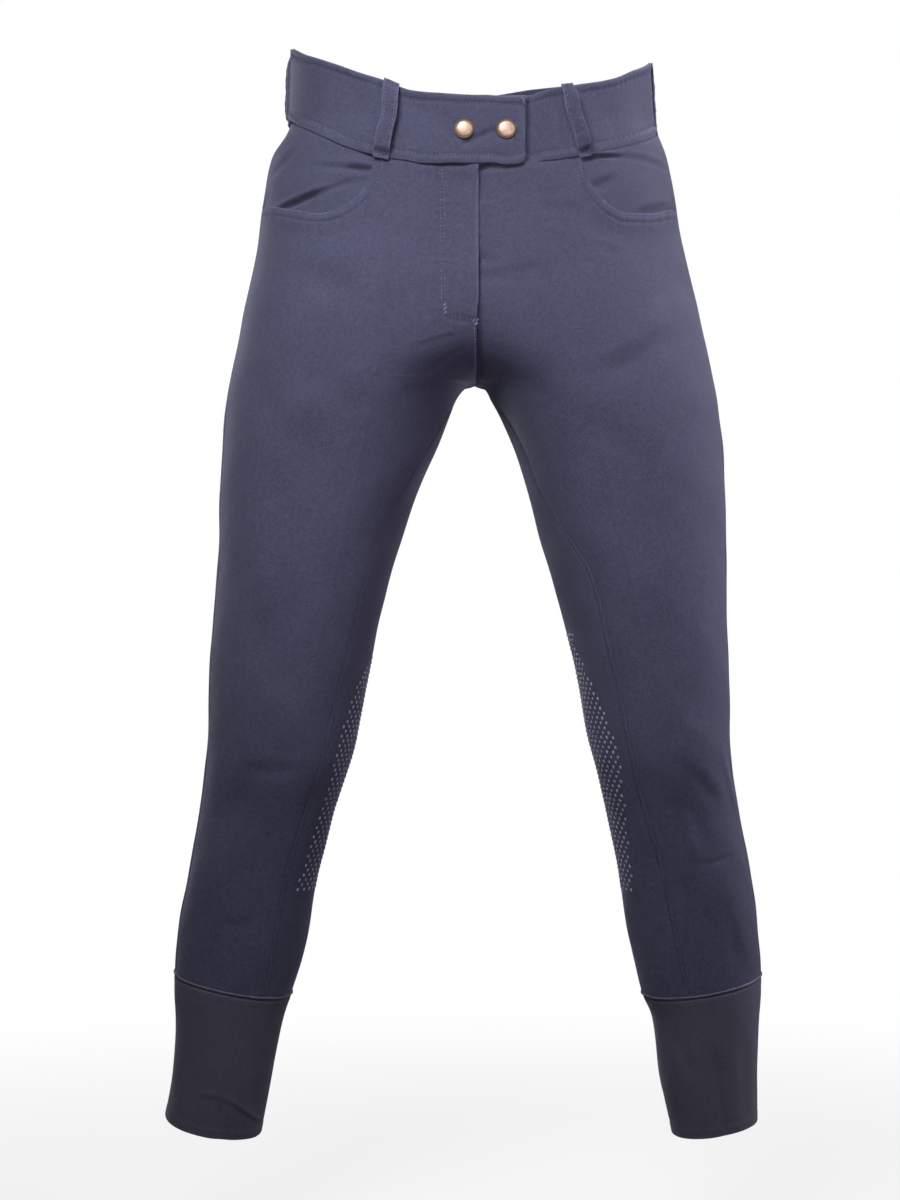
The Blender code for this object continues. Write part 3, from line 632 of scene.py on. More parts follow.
def smooth(at, knots, values):
    """A cubic through the values that never swings past them between two knots."""
    step = np.diff(knots)
    slope = np.diff(values) / step
    tangent = np.concatenate(([slope[0]], np.zeros(len(step) - 1), [slope[-1]]))
    for i in np.flatnonzero(slope[1:] * slope[:-1] > 0):
        near, far = step[i] + 2 * step[i + 1], 2 * step[i] + step[i + 1]
        tangent[i + 1] = (near + far) / (near / slope[i] + far / slope[i + 1])
    at = np.clip(at, knots[0], knots[-1])
    i = np.clip(np.searchsorted(knots, at, side="right") - 1, 0, len(step) - 1)
    t = (at - knots[i]) / step[i]
    return (
        (1 + 2 * t) * (1 - t) ** 2 * values[i]
        + t * (1 - t) ** 2 * step[i] * tangent[i]
        + t**2 * (3 - 2 * t) * values[i + 1]
        + t**2 * (t - 1) * step[i] * tangent[i + 1]
    )


def ease(share):
    """From 0 to 1 with level ends."""
    share = np.clip(share, 0, 1)
    return share**2 * (3 - 2 * share)


def bump(away, reach, sharp=2.0):
    """A hump of height 1 that fades with distance."""
    return np.exp(-(np.abs(away / reach) ** sharp))


def ridge(away, height, place, reach):
    """A ridge, or with a negative height a groove, at a distance from a seam or an edge."""
    return height * bump(away - place, reach)


def turned_over(away, height, width, fade):
    """Extra height of an edge that is turned over."""
    return height * (1 - ease((away - width) / fade))


def spread_at(level):
    """How far the legs have parted: next to 0 at the waist and 1 at the crotch and below."""
    fall = np.clip((SPREAD_FROM - np.asarray(level, float)) / (SPREAD_FROM - CROTCH), 0, 1)
    return np.maximum(fall**SPREAD_POWER, LEAST_SPREAD)


def section(side, level):
    """One leg's level section: its fullest place, its reach out and in from there, and depths."""
    name = SIDE_NAMES[side]
    out = smooth(level, FORM["level"], FORM[f"{name}_out"])
    inside = smooth(level, FORM["level"], FORM[f"{name}_in"])
    fullest = out * smooth(level, FORM["level"], FORM["fullest"])
    inward = np.where(level >= CROTCH, fullest / spread_at(level), fullest - inside)
    front, back, middle = (smooth(level, FORM["level"], FORM[c]) for c in ("front", "back", "middle"))
    return fullest, out - fullest, inward, front, back, middle


def on_form(side, angle, level):
    """Points of the form's outer face."""
    angle, level = paired(angle, level)
    fullest, outward_reach, inward_reach, front, back, middle = section(side, level)
    turn = np.radians(angle)
    outer_half = np.cos(turn) > 0
    full = 1 + np.where(outer_half, FULLNESS * np.sin(2 * turn) ** 2, 0)
    reach = np.where(outer_half, outward_reach, inward_reach)
    depth = np.where(np.sin(turn) > 0, front, back)
    x = side * (fullest + reach * np.cos(turn) * full)
    y = middle - depth * np.sin(turn) * full
    return np.stack((x, y, level), axis=-1)


def stretch(side, angle, level):
    """How the form's points move for a degree of angle and for a millimetre of level."""
    per_degree = on_form(side, angle + 0.5, level) - on_form(side, angle - 0.5, level)
    per_level = on_form(side, angle, level + 0.5) - on_form(side, angle, level - 0.5)
    return per_degree, per_level


def degree_length(side, angle, level):
    """Millimetres along the form for a degree of angle."""
    return np.linalg.norm(stretch(side, angle, level)[0], axis=-1)


def unit(vectors):
    """Vectors of the same direction and of length 1."""
    return vectors / np.linalg.norm(vectors, axis=-1, keepdims=True)


def outward(side, angle, level):
    """Unit normals of the form, pointing out."""
    per_degree, per_level = stretch(side, angle, level)
    return unit(-side * np.cross(per_degree, per_level))


def bearing_of(side, angle):
    """Bearing round the waist of an angle of one side."""
    return angle % 360 if side == RIGHT else (180 - angle) % 360


def rim_level(bearing, edge):
    """Level of the waistband's top edge or seam at a bearing."""
    knots = np.concatenate([RIM["bearing"] + turn for turn in (-360, 0, 360)])
    return smooth(np.asarray(bearing) % 360, knots, np.tile(RIM[edge], 3))


def band_seam(side, angle):
    """Level of the waistband's seam at an angle of one side."""
    return rim_level(bearing_of(side, angle), "seam")


def ring_level(ring, angle):
    """Level of a cuff seam or hem at an angle."""
    ring, turn = named(RING_COLUMNS, ring), np.radians(angle)
    middle, slope = (ring["outer"] + ring["inner"]) / 2, (ring["outer"] - ring["inner"]) / 2
    return middle + slope * np.cos(turn) - ring["dip"] * np.sin(turn)


def angle_at(side, across, level):
    """Angles of the front face's points at signed distances from the midline and levels."""
    across, level = paired(across, level)
    fullest, outward_reach, inward_reach = section(side, level)[:3]
    away = side * across - fullest
    share = np.clip(away / np.where(away > 0, outward_reach, inward_reach), -1, 1)
    cosine = share
    for _ in range(ANGLE_ROUNDS):
        full = 1 + np.where(share > 0, 4 * FULLNESS * cosine**2 * (1 - cosine**2), 0)
        cosine = share / full
    return np.degrees(np.arccos(cosine))


def angles_along(side, route):
    """Angles of the front face's places along a route of distances from the midline and levels."""
    across, level = np.transpose(route)
    return angle_at(side, side * across, level)


def midline_angle(level):
    """Angle at which the front face meets the midline: 90 at the waist, 180 at the crotch."""
    return np.degrees(np.arccos(-spread_at(level)))


def front_end_angle(side, level):
    """Angle of the front panel's inner edge: the midline, then the inner-front seam."""
    level = np.asarray(level, float)
    seam = smooth(level, INNER_SEAM["level"], INNER_SEAM[SIDE_NAMES[side]])
    return np.where(level > CROTCH, midline_angle(level), seam)


def back_end_angle(side, level):
    """Angle of the back panel's inner edge: the back midline, then the inner-front seam."""
    end = front_end_angle(side, level)
    return np.where(level > CROTCH, 360 - end, end)


def outseam_angle(level):
    """Angle of the outseam, which comes forward a little on the legs."""
    share = (np.asarray(level, float) - OUTSEAM_TURN[0]) / (OUTSEAM_TURN[1] - OUTSEAM_TURN[0])
    return OUTSEAM + OUTSEAM_FORWARD * ease(share)


def panel_angles(shares, level, start, end, face):
    """Angles of a panel's grid. Only its last columns follow the midline under the crotch."""
    above = level > GUIDE["level"][0]
    guide = np.where(above, smooth(level, GUIDE["level"], GUIDE[face]), end)
    return start + shares * (guide - start) + shares**GUIDE_POWER * (end - guide)


def mouth_curve(side):
    """The pocket mouth, finely sampled: distance from the midline, and level."""
    across, level = MOUTH[side]["across"], MOUTH[side]["level"]
    along = summed(np.hypot(np.diff(across), np.diff(level)))
    at = np.linspace(0, along[-1], MOUTH_STEPS)
    return smooth(at, along, across), smooth(at, along, level)


def above_mouth(side, points):
    """Distance of each point from the pocket mouth, seen from the front, positive inside it."""
    across, level = mouth_curve(side)
    x, z = np.abs(points[..., 0]), points[..., 2]
    away = np.full(x.shape, -FAR)
    near = (z > MOUTH_REACH[0]) & (z < MOUTH_REACH[1]) & (points[..., 1] < 0)
    x, z = x[near], z[near]
    distance = np.hypot(x[:, None] - across, z[:, None] - level).min(axis=1)
    away[near] = np.where((z > np.interp(x, across, level)) & (x > across[0]), distance, -distance)
    return away


def fly_lift(points):
    """How far the right front is lifted over the left front along the fly."""
    across = ease((points[..., 0] + FLY_RAMP) / (FLY_RAMP - FLY_FLAT))
    return FLY_LIFT * across * ease((points[..., 2] - FLY_FOOT) / FLY_FADE + 1)


def gape(side, points, away):
    """How far the front stands out along the pocket mouth, nothing at the mouth's two ends."""
    across, ends = np.abs(points[..., 0]), MOUTH[side]["across"]
    near_mouth = 1 - ease(-away / POCKET_BLEND)
    inner_end = ease((across - ends[0]) / POCKET_FADE)
    outer_end = ease((ends[-1] - across) / (POCKET_FADE / 2))
    return POCKET_GAPE * near_mouth * inner_end * outer_end


def around(bearing, level):
    """Points and outward normals of the form above the legs, for grids of bearing and level."""
    bearing, level = paired(np.asarray(bearing, float) % 360, level)
    points = np.empty((*level.shape, 3))
    normals = np.empty_like(points)
    on_left = (bearing > 90) & (bearing < 270)
    for side, mine in ((LEFT, on_left), (RIGHT, ~on_left)):
        angle = bearing_of(side, bearing[mine])
        half_turn = midline_angle(level[mine]) / 90
        angle = np.where(angle <= 90, angle * half_turn, 360 - (360 - angle) * half_turn)
        points[mine] = on_form(side, angle, level[mine])
        normals[mine] = outward(side, angle, level[mine])
    return points, normals


# Creases and unevenness.


def crease_path(side, crease):
    """Angles, levels and signed millimetres per degree (positive outwards) along a crease."""
    share = np.linspace(0, 1, CREASE_STEPS)[:, None]
    ends = [np.array((crease[f"{end}_across"], crease[f"{end}_level"])) for end in ("from", "by", "to")]
    route = (1 - share) ** 2 * ends[0] + 2 * share * (1 - share) * ends[1] + share**2 * ends[2]
    angles = angles_along(side, route)
    if crease["face"] == BACK:
        angles = 360 - angles
    return angles, route[:, 1], degree_length(side, angles, route[:, 1]) * -crease["face"]


def crease_lift(side, angle, level, rows):
    """Height of all creases of one leg at places of the form."""
    lift = np.zeros(level.shape)
    turn = np.broadcast_to(angle % 360, level.shape)
    for row in rows:
        crease = {"ridge": 0, "sharp": SOFT, **named(CREASE_COLUMNS, row)}
        angles, levels, scale = crease_path(side, crease)
        reach = crease["reach"]
        window = CREASE_WINDOW * reach
        turn_window = window / np.abs(scale).min()
        near = (level > levels.min() - window) & (level < levels.max() + window)
        near &= (turn > angles.min() - turn_window) & (turn < angles.max() + turn_window)
        away, share = from_crease(turn[near], level[near], angles, levels, scale)
        taper = ease(share / CREASE_TAPER) * ease((1 - share) / CREASE_TAPER)
        trough = -crease["depth"] * bump(away, reach, crease["sharp"])
        beside = crease["ridge"] * bump(away - RIDGE_SHIFT * reach, reach)
        lift[near] += taper * (trough + beside)
    return lift


def from_crease(turn, level, angles, levels, scale):
    """Distance of places from a crease, positive on its ridge's side, and the share along it."""
    u = (turn[:, None] - angles[:-1]) * scale[:-1]
    v = level[:, None] - levels[:-1]
    du, dv = np.diff(angles) * scale[:-1], np.diff(levels)
    along = np.clip((u * du + v * dv) / (du**2 + dv**2), 0, 1)
    off_u, off_v = u - along * du, v - along * dv
    nearest = np.argmin(off_u**2 + off_v**2, axis=1)
    rank = np.arange(len(nearest))
    ridge_side = np.where(du - RIDGE_LEAN * dv > 0, 1, -1) / np.hypot(du, dv)
    away = ((off_v * du - off_u * dv) * ridge_side)[rank, nearest]
    span = np.hypot(off_u, off_v)[rank, nearest]
    return np.copysign(span, away), (nearest + along[rank, nearest]) / (CREASE_STEPS - 1)


def waves(side, angle, level):
    """Slow, uneven swelling of the cloth."""
    dice = np.random.default_rng(WAVE_SEED + side)
    lift = np.zeros(np.broadcast(angle, level).shape)
    for row in WAVE_ROWS:
        wave = named(WAVE_COLUMNS, row)
        phase, sway = dice.uniform(0, 2 * math.pi, 2)
        lean = WAVE_SWAY * np.sin(level / WAVE_SWAY_LENGTH + sway)
        lift += wave["height"] * np.sin(
            np.radians(angle) * wave["turns"] + 2 * math.pi * level / wave["length"] + phase + lean
        )
    return lift


def calm(side, angle, level):
    """From 0 at the waistband's seam, where the cloth lies even, to 1 below it."""
    return ease((band_seam(side, angle) - level + NEAR_SEAM) / CALM_BY_BAND)


def band_dip(side, angle, level):
    """A narrow groove right under the waistband."""
    return ridge(band_seam(side, angle) - level, *BAND_GROOVE)


def relief(side, angle, level):
    """Creases and unevenness of a leg's cloth."""
    creases = crease_lift(side, angle, level, CREASE_ROWS[side])
    uneven = chosen_sizes().crease_strength * (creases + waves(side, angle, level))
    return uneven * calm(side, angle, level) + band_dip(side, angle, level)


def from_inner_seam(side, angle, level):
    """Signed distance from the inner-front seam along the cloth."""
    return (angle - front_end_angle(side, level)) * degree_length(side, angle, level)


def below_crotch(level):
    """From 0 at the crotch to 1 down the leg, where the inner seam begins."""
    return ease((CROTCH - INNER_FADE[0] - level) / INNER_FADE[1])


def inner_dip(side, angle, level):
    """A narrow groove along the inner-front seam."""
    return ridge(from_inner_seam(side, angle, level), *INNER_GROOVE) * below_crotch(level)


def outseam_dip(side, angle, level):
    """A shallow trough along the outseam."""
    turn = (angle - outseam_angle(level) + 180) % 360 - 180
    away = turn * degree_length(side, angle, level)
    return ridge(away, *OUTSEAM_GROOVE) * calm(side, angle, level)


def stitched(away, along):
    """Dip and puckers of cloth along a row of stitches."""
    dip = -STITCH_DIP * bump(away, STITCH_DIP_REACH)
    sway = PUCKER_SWAY * np.sin(along / PUCKER_SWAY_LENGTH)
    wobble = np.sin(2 * math.pi * along / PUCKER_LENGTH + sway)
    return dip + PUCKER_HEIGHT * wobble * bump(away, PUCKER_REACH)


def from_route(points, route):
    """Distance of points from a route, seen from the front."""
    x, z = points[..., 0], points[..., 2]
    away = np.full(x.shape, FAR)
    for (x0, z0), (x1, z1) in zip(route, route[1:]):
        share = ((x - x0) * (x1 - x0) + (z - z0) * (z1 - z0)) / ((x1 - x0) ** 2 + (z1 - z0) ** 2)
        share = np.clip(share, 0, 1)
        away = np.minimum(away, np.hypot(x - x0 - share * (x1 - x0), z - z0 - share * (z1 - z0)))
    return away


# Faces of the pieces: points and normals of the cloth's outer side.


def fly_rows():
    """Routes of the fly's two vertical rows of stitches."""
    return [[(x - shift, z) for x, z in FLY_STITCH_ROUTE] for shift in FLY_STITCHES]


def front_lift(side, angle, level, points):
    """Height of the front's outer face over the form."""
    x, z, in_front = points[..., 0], points[..., 2], points[..., 1] < 0
    away = above_mouth(side, points)
    lift = gape(side, points, away) + relief(side, angle, level)
    lift = lift + outseam_dip(side, angle, level) + inner_dip(side, angle, level)
    for row in MOUTH_STITCHES:
        lift = lift + stitched(away + row, np.abs(x))
    if side == RIGHT:
        welt = ease((x + WELT_EDGE[0]) / WELT_EDGE[1]) * ease((z - CROTCH - WELT_FOOT[0]) / WELT_FOOT[1])
        lift = lift + np.maximum(fly_lift(points), WELT_HEIGHT * welt)
        for route in fly_rows():
            lift = lift + stitched(from_route(points, route), z) * in_front
        lift = lift + stitched(from_route(points, FLY_FOOT_ROUTE), np.abs(x)) * in_front
    return lift


def back_lift(side, angle, level, points):
    """Height of the back's outer face over the form, with the flat seam on its inner edge."""
    flat = below_crotch(level) * ridge(from_inner_seam(side, angle, level), *FLAT_SEAM)
    dips = outseam_dip(side, angle, level) + inner_dip(side, angle, level)
    return relief(side, angle, level) + dips + flat


LIFTS = {FRONT: front_lift, BACK: back_lift}


def panel_face(side, face, angle, level):
    """Points and normals of a panel's outer face."""
    points, normals = on_form(side, angle, level), outward(side, angle, level)
    return points + normals * LIFTS[face](side, angle, level, points)[..., None], normals


def lap_share(bearing, points):
    """1 on the waistband's lap, 0 where the band lies on the form."""
    ramp = (points[..., 0] - LAP_RAMP[0]) / (LAP_RAMP[1] - LAP_RAMP[0])
    return np.where(bearing > LAP_BEARING, ease(ramp), 0)


def band_edges(bearing):
    """Levels of the band's top edge and foot, with the tab's drop and its rounded corners."""
    end = tab_end_bearing()
    lap = ease((bearing - 360 - TAB_DROP_BEARING) / TAB_DROP_TURN)
    nearness = np.clip(1 - np.radians(end - bearing) * TAB_RADIUS / TAB_CORNER, 0, 1)
    corner = TAB_CORNER * (1 - np.sqrt(1 - nearness**2))
    top = rim_level(bearing, "top") - lap * TAB_DROP / 2 - corner
    foot = rim_level(bearing, "seam") - lap * TAB_DROP + corner + SEAM_GAP / 2 * (1 - lap)
    begun, gone = (ease((bearing - place) / turn) for place, turn in zip(LAP_DROP, LAP_DROP_TURNS))
    return top, foot - LAP_DROP_DEPTH * (begun * (1 - gone))


def tab_end_bearing():
    """Bearing of the tab's end, counted on past 360."""
    return 360 + float(bearing_of(LEFT, angle_at(LEFT, TAB_END, SNAP_LEVEL)))


def on_band(bearing, level):
    """Points and normals of the form under the waistband, whose tab ends upright."""
    bearing, level = paired(bearing, level)
    here, ahead, behind = (around(bearing + turn, level)[0][..., 0] for turn in (0, 0.5, -0.5))
    wanted = around(bearing, SNAP_LEVEL)[0][..., 0]
    per_degree = np.where(bearing > LAP_MIDDLE, ahead - behind, 1)
    lean = ease((bearing - LAP_MIDDLE) / UPRIGHT_TURN) * (wanted - here) / per_degree
    return around(bearing + lean, level)


def band_lift(bearing, level, points):
    """Height of the waistband's outer face over the form."""
    sizes = chosen_sizes()
    x, z = points[..., 0], points[..., 2]
    top, foot = band_edges(bearing)
    from_top, from_foot = top - level, level - foot
    from_end = np.radians(tab_end_bearing() - bearing) * TAB_RADIUS
    lift = BAND_STAND + (sizes.band_thickness / MM + LAP_CLEARANCE) * lap_share(bearing, points)
    lift = lift + ridge(from_top, *TOP_ROLL) + ridge(from_foot, *FOOT_ROLL)
    for away in (from_top, from_foot):
        lift = lift + stitched(away - BAND_STITCH, bearing * TAB_RADIUS / TURN_DEGREES)
    inside = (from_top > BAND_STITCH) & (from_foot > BAND_STITCH)
    lift = lift + np.where(inside, stitched(from_end - BAND_STITCH, level), 0)
    lift = lift + ridge(from_end, *END_ROLL)
    beside_tab = ease((np.abs(x) - TAB_END + TAB_CLEAR) / TAB_CLEAR)
    outside = (points[..., 1] < 0) * np.where(bearing > LAP_BEARING, 1, beside_tab)
    for row in BAND_CREASE_ROWS:
        crease = named(BAND_CREASE_COLUMNS, row)
        route = ((crease["from_x"], crease["from_level"]), (crease["to_x"], crease["to_level"]))
        fold = crease["depth"] * bump(from_route(points, route), crease["reach"])
        lift = lift - fold * outside * sizes.crease_strength
    for across in SNAP_ACROSS.values():
        lift = lift - SNAP_PRESS[0] * bump(np.hypot(x - across, z - SNAP_LEVEL), SNAP_PRESS[1]) * outside
    slow = sum(height * np.sin(turns * np.radians(bearing) + start + level / length)
               for turns, start, length, height in BAND_WAVE_ROWS)
    return lift + slow * ease(from_foot / CALM_BY_BAND)


def band_face(bearing, level):
    """Points and normals of the waistband's outer face."""
    bearing, level = paired(bearing, level)
    points, normals = on_band(bearing, level)
    return points + normals * band_lift(bearing, level, points)[..., None], normals


def cuff_lift(side, angle, level):
    """Height of a cuff's outer face: a roll under its seam, ribs, creases and a turned hem."""
    below_seam = ring_level(CUFF_SEAMS[side], angle) - level
    above_hem = level - ring_level(HEMS[side], angle)
    roll = turned_over(below_seam, *CUFF_FOLD) + ridge(below_seam, *CUFF_ROLL)
    roll = roll + ridge(below_seam, *CUFF_GROOVE)
    sway = RIB_SWAY * np.sin(level / RIB_SWAY_LENGTH)
    ribs = RIB_HEIGHT * np.sin(np.radians(angle) * CUFF_RIBS + sway) * bump(below_seam, RIB_REACH)
    hem = turned_over(above_hem, *HEM_FOLD) + ridge(above_hem, *HEM_GROOVE)
    creases = crease_lift(side, angle, level, CUFF_CREASE_ROWS[side])
    uneven = creases + CUFF_WAVES * waves(side, angle, level)
    return roll + ribs + hem + chosen_sizes().crease_strength * uneven


# Meshes.


def add_object(name, data):
    """A new object in the scene."""
    made = bpy.data.objects.new(name, data)
    bpy.context.scene.collection.objects.link(made)
    return made


def new_piece(name, mesh, material):
    """An object of this mesh that rides on the frame."""
    mesh.materials.append(material)
    mesh.shade_smooth()
    piece = add_object(name, mesh)
    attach(piece, "root")
    return piece


def new_mesh(name, points, faces):
    """A mesh of points in millimetres."""
    mesh = bpy.data.meshes.new(name)
    mesh.from_pydata((points * MM).tolist(), [], faces)
    return mesh


def closed_mesh(name, points, faces):
    """A mesh of points in millimetres whose faces are all turned outwards."""
    mesh = new_mesh(name, points, faces)
    shape = bmesh.new()
    shape.from_mesh(mesh)
    bmesh.ops.recalc_face_normals(shape, faces=shape.faces)
    shape.to_mesh(mesh)
    shape.free()
    return mesh


def note(mesh, name, kind, values):
    """Keeps values for a mesh's points under a name."""
    field = "vector" if kind == "FLOAT_VECTOR" else "value"
    kept = mesh.attributes.new(name, kind, "POINT")
    kept.data.foreach_set(field, values.astype(np.float32).ravel())


def edged(length, count):
    """Shares from 0 to 1, even inside and closer together at both ends."""
    near = np.array(EDGE_STEPS) / length
    inner = np.linspace(near[-1], 1 - near[-1], count)[1:-1]
    return np.concatenate((near, inner, 1 - near[::-1]))


def grid_lengths(points):
    """Distances along the cloth from the first column and from the first row."""
    across = np.linalg.norm(np.diff(points, axis=1), axis=-1)
    down = np.linalg.norm(np.diff(points, axis=0), axis=-1)
    across = np.concatenate((np.zeros((len(points), 1)), np.cumsum(across, axis=1)), axis=1)
    down = np.concatenate((np.zeros((1, points.shape[1])), np.cumsum(down, axis=0)), axis=0)
    return across, down


def every(count, step):
    """Indices from 0 to the last one, a step apart."""
    return np.unique(np.append(np.arange(0, count, step), count - 1))


def quads(grid):
    """Quads between the neighbouring rows of an index grid."""
    corners = (grid[:-1, :-1], grid[:-1, 1:], grid[1:, 1:], grid[1:, :-1])
    return np.stack(corners, axis=-1).reshape(-1, 4).tolist()


def rim_faces(fine, coarse, kept):
    """Faces that join a fine edge to the coarse edge behind it."""
    return [
        [*fine[kept[i]: kept[i + 1] + 1].tolist(), int(coarse[i + 1]), int(coarse[i])]
        for i in range(len(kept) - 1)
    ]


def shell(name, points, normals, lift, thickness, material, slot, ring=False, near=None,
          coarse=INNER_EVERY, rubbed=1.0):
    """A closed thin shell with rounded edges, whose inner face has fewer points."""
    across, down = grid_lengths(points)
    away = np.minimum(down, down[-1] - down)
    if not ring:
        away = np.minimum(away, np.minimum(across, across[:, -1:] - across))
    if near is not None:
        away = np.minimum(away, np.maximum(near, 0))
    half = np.broadcast_to(thickness, away.shape) / 2
    short = np.clip(half - away, 0, half)
    drop = EDGE_ROUNDNESS * (half - np.sqrt(np.maximum(half**2 - short**2, 0)))
    rows, columns = every(len(points), coarse[0]), every(points.shape[1], coarse[1])
    kept = np.ix_(rows, columns)
    outer = points + normals * (lift - drop)[..., None]
    inner = (points + normals * (lift - 2 * half + drop)[..., None])[kept]
    front = np.arange(away.size).reshape(away.shape)
    back = away.size + np.arange(len(rows) * len(columns)).reshape(inner.shape[:2])
    if ring:
        front, back = np.hstack((front, front[:, :1])), np.hstack((back, back[:, :1]))
        columns = np.append(columns, away.shape[1])
    faces = quads(front) + quads(back)
    for edge in (0, -1):
        faces += rim_faces(front[edge], back[edge], columns)
        if not ring:
            faces += rim_faces(front[:, edge], back[:, edge], rows)
    mesh = closed_mesh(name, np.concatenate((outer.reshape(-1, 3), inner.reshape(-1, 3))), faces)
    lay = np.stack((across, points[..., 2], np.zeros_like(across)), axis=-1) * MM
    note(mesh, "cloth_lay", "FLOAT_VECTOR", np.concatenate((lay.reshape(-1, 3), lay[kept].reshape(-1, 3))))
    # Painted highlight: the colour is lightened along the edges, where folded edges catch the light.
    edge_highlight = bump(away, HIGHLIGHT_REACH) * rubbed
    note(mesh, "edge_rub", "FLOAT", np.concatenate((edge_highlight.ravel(), edge_highlight[kept].ravel())))
    return new_piece(name, mesh, material)


def declare(node, points, ring):
    """Hides the solid that the piece stands for."""
    if ring:
        points = np.concatenate((points, points[:, :1]), axis=1)
    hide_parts(node)


def make_cloth(node, face, lift, thickness, cloth="Slate stretch twill", slot="stretch_cloth",
               threads=(), extras=(), ring=False, **edges):
    """A cloth piece on the form, with its rows of stitches as label, thread and runs."""
    material = once(bpy.data.materials, cloth, cloth_material)
    piece = shell(f"{node}_cloth", *face, lift, thickness, material, slot, ring=ring, **edges)
    sewn = [sew(f"{node}_{label}", thread, runs) for label, thread, runs in threads]
    declare(node, face[0], ring)


def turned_faces(rings, sides, first, over, under=None):
    """Faces of a small turned shape: quads between its rings, and fans to its end points."""
    pairs = [(i, (i + 1) % sides) for i in range(sides)]
    last = first + (rings - 1) * sides
    faces = [] if under is None else [(under, first + after, first + i) for i, after in pairs]
    for start in range(first, last, sides):
        faces += [(start + i, start + after, start + sides + after, start + sides + i) for i, after in pairs]
    return faces + [(over, last + i, last + after) for i, after in pairs]


def capsule(length, width):
    """One stitch: its points along, across and above the cloth, and its faces."""
    turn = np.arange(STITCH_SIDES) * 2 * math.pi / STITCH_SIDES
    points = [(-length / 2, 0, -STITCH_SINK * width)]
    for share in STITCH_RINGS:
        rise = width * (STITCH_RISE - STITCH_ARCH * share**2)
        radius = width / 2 * (1 - STITCH_TAPER * (share / 0.5) ** 2)
        points += [(share * length, radius * math.cos(t), rise + radius * math.sin(t)) for t in turn]
    points.append((length / 2, 0, -STITCH_SINK * width))
    return np.array(points), turned_faces(len(STITCH_RINGS), STITCH_SIDES, 1, len(points) - 1, 0)


def copies(name, shape, places, material):
    """Many small things as one mesh: a shape set on places with three directions each."""
    points, faces = shape
    origins, directions = (np.concatenate(rows) for rows in zip(*places))
    corners = origins[:, None] + np.einsum("pk,nkx->npx", points, directions)
    starts = np.arange(len(origins)) * len(points)
    all_faces = [[start + corner for corner in face] for start in starts.tolist() for face in faces]
    return new_piece(name, new_mesh(name, corners.reshape(-1, 3), all_faces), material)


def sew(name, thread, runs):
    """Rows of stitches along runs of points and normals. A run with a slant is sewn zigzag."""
    sizes = chosen_sizes()
    length, gap = sizes.stitch_length / MM, sizes.stitch_gap / MM
    dice = np.random.default_rng(len(runs))
    places = []
    for points, normals, slant in runs:
        along = summed(np.linalg.norm(np.diff(points, axis=0), axis=1))
        count = max(int(along[-1] / (length + gap) * (ZIGZAG_CLOSER if slant else 1)), 1)
        at = (np.arange(count) + 0.5) * along[-1] / count
        up = unit(taken(at, along, normals))
        way = taken(at + length / 2, along, points) - taken(at - length / 2, along, points)
        way = unit(way - (way * up).sum(axis=1, keepdims=True) * up)
        side = np.cross(up, way)
        tilt = np.radians(slant * (-1.0) ** np.arange(count) + dice.normal(0, STITCH_TILT, count))[:, None]
        way, side = way * np.cos(tilt) + side * np.sin(tilt), side * np.cos(tilt) - way * np.sin(tilt)
        spot = taken(at, along, points) + up * dice.normal(*STITCH_STAND, (count, 1))
        places.append((spot, np.stack((way, side, up), axis=1)))
    shape = capsule(length, sizes.thread_width / MM)
    return copies(name, shape, places, once(bpy.data.materials, thread, thread_material))


def run_on_panel(side, face, angle, level, slant=0.0):
    """A run of places on a panel, to be sewn straight or with a slant."""
    return *panel_face(side, face, np.asarray(angle, float), np.asarray(level, float)), slant


def run_from_route(side, route):
    """A run on the front along a route of places seen from the front."""
    route = np.array(route, float)
    along = summed(np.hypot(*np.diff(route, axis=0).T))
    at = np.linspace(0, along[-1], max(int(along[-1] / ROUTE_STEP), 3))
    across, level = taken(at, along, route).T
    return run_on_panel(side, FRONT, angle_at(side, across, level), level)


# Finishes.


def feed(tree, node, inputs):
    """Sets a node's inputs, each to a value or to another node's output."""
    for socket, value in inputs.items():
        if isinstance(value, bpy.types.NodeSocket):
            tree.links.new(value, node.inputs[socket])
        else:
            node.inputs[socket].default_value = value


def put(tree, kind, inputs=None, **settings):
    """Adds a node with these inputs and settings."""
    node = tree.nodes.new(kind)
    for key, value in settings.items():
        setattr(node, key, value)
    feed(tree, node, inputs or {})
    return node


def reckon(tree, operation, *values):
    """Adds a Math node and gives its output."""
    return put(tree, "ShaderNodeMath", dict(enumerate(values)), operation=operation).outputs[0]


def scaled(tree, value, scale, start):
    """The value times a scale, added to a start."""
    return reckon(tree, "ADD", reckon(tree, "MULTIPLY", value, scale), start)


def noise(tree, place, scale, detail=2.0):
    """Soft noise from 0 to 1."""
    made = put(tree, "ShaderNodeTexNoise", {"Vector": place, "Scale": scale, "Detail": detail})
    return made.outputs["Fac"]


def between(tree, factor, first, second):
    """A colour on the way from the first to the second."""
    return put(tree, "ShaderNodeMix", {"Factor": factor, 6: first, 7: second}, data_type="RGBA").outputs[2]


def bumped(tree, height, strength, distance):
    """Normals of a surface with small heights."""
    inputs = {"Height": height, "Strength": strength, "Distance": distance}
    return put(tree, "ShaderNodeBump", inputs).outputs["Normal"]


def shader_group(name, inputs, outputs):
    """A new node group with these named sockets; gives the group and its two end nodes."""
    group = bpy.data.node_groups.new(name, "ShaderNodeTree")
    for socket, kind, default in inputs:
        made = group.interface.new_socket(socket, in_out="INPUT", socket_type=kind)
        if default is not None:
            made.default_value = default
    for socket, kind in outputs:
        group.interface.new_socket(socket, in_out="OUTPUT", socket_type=kind)
    return group, group.nodes.new("NodeGroupInput"), group.nodes.new("NodeGroupOutput")


def once(library, name, build):
    """The node group or material of this name, built the first time it is asked for."""
    return library.get(name) or build(name)


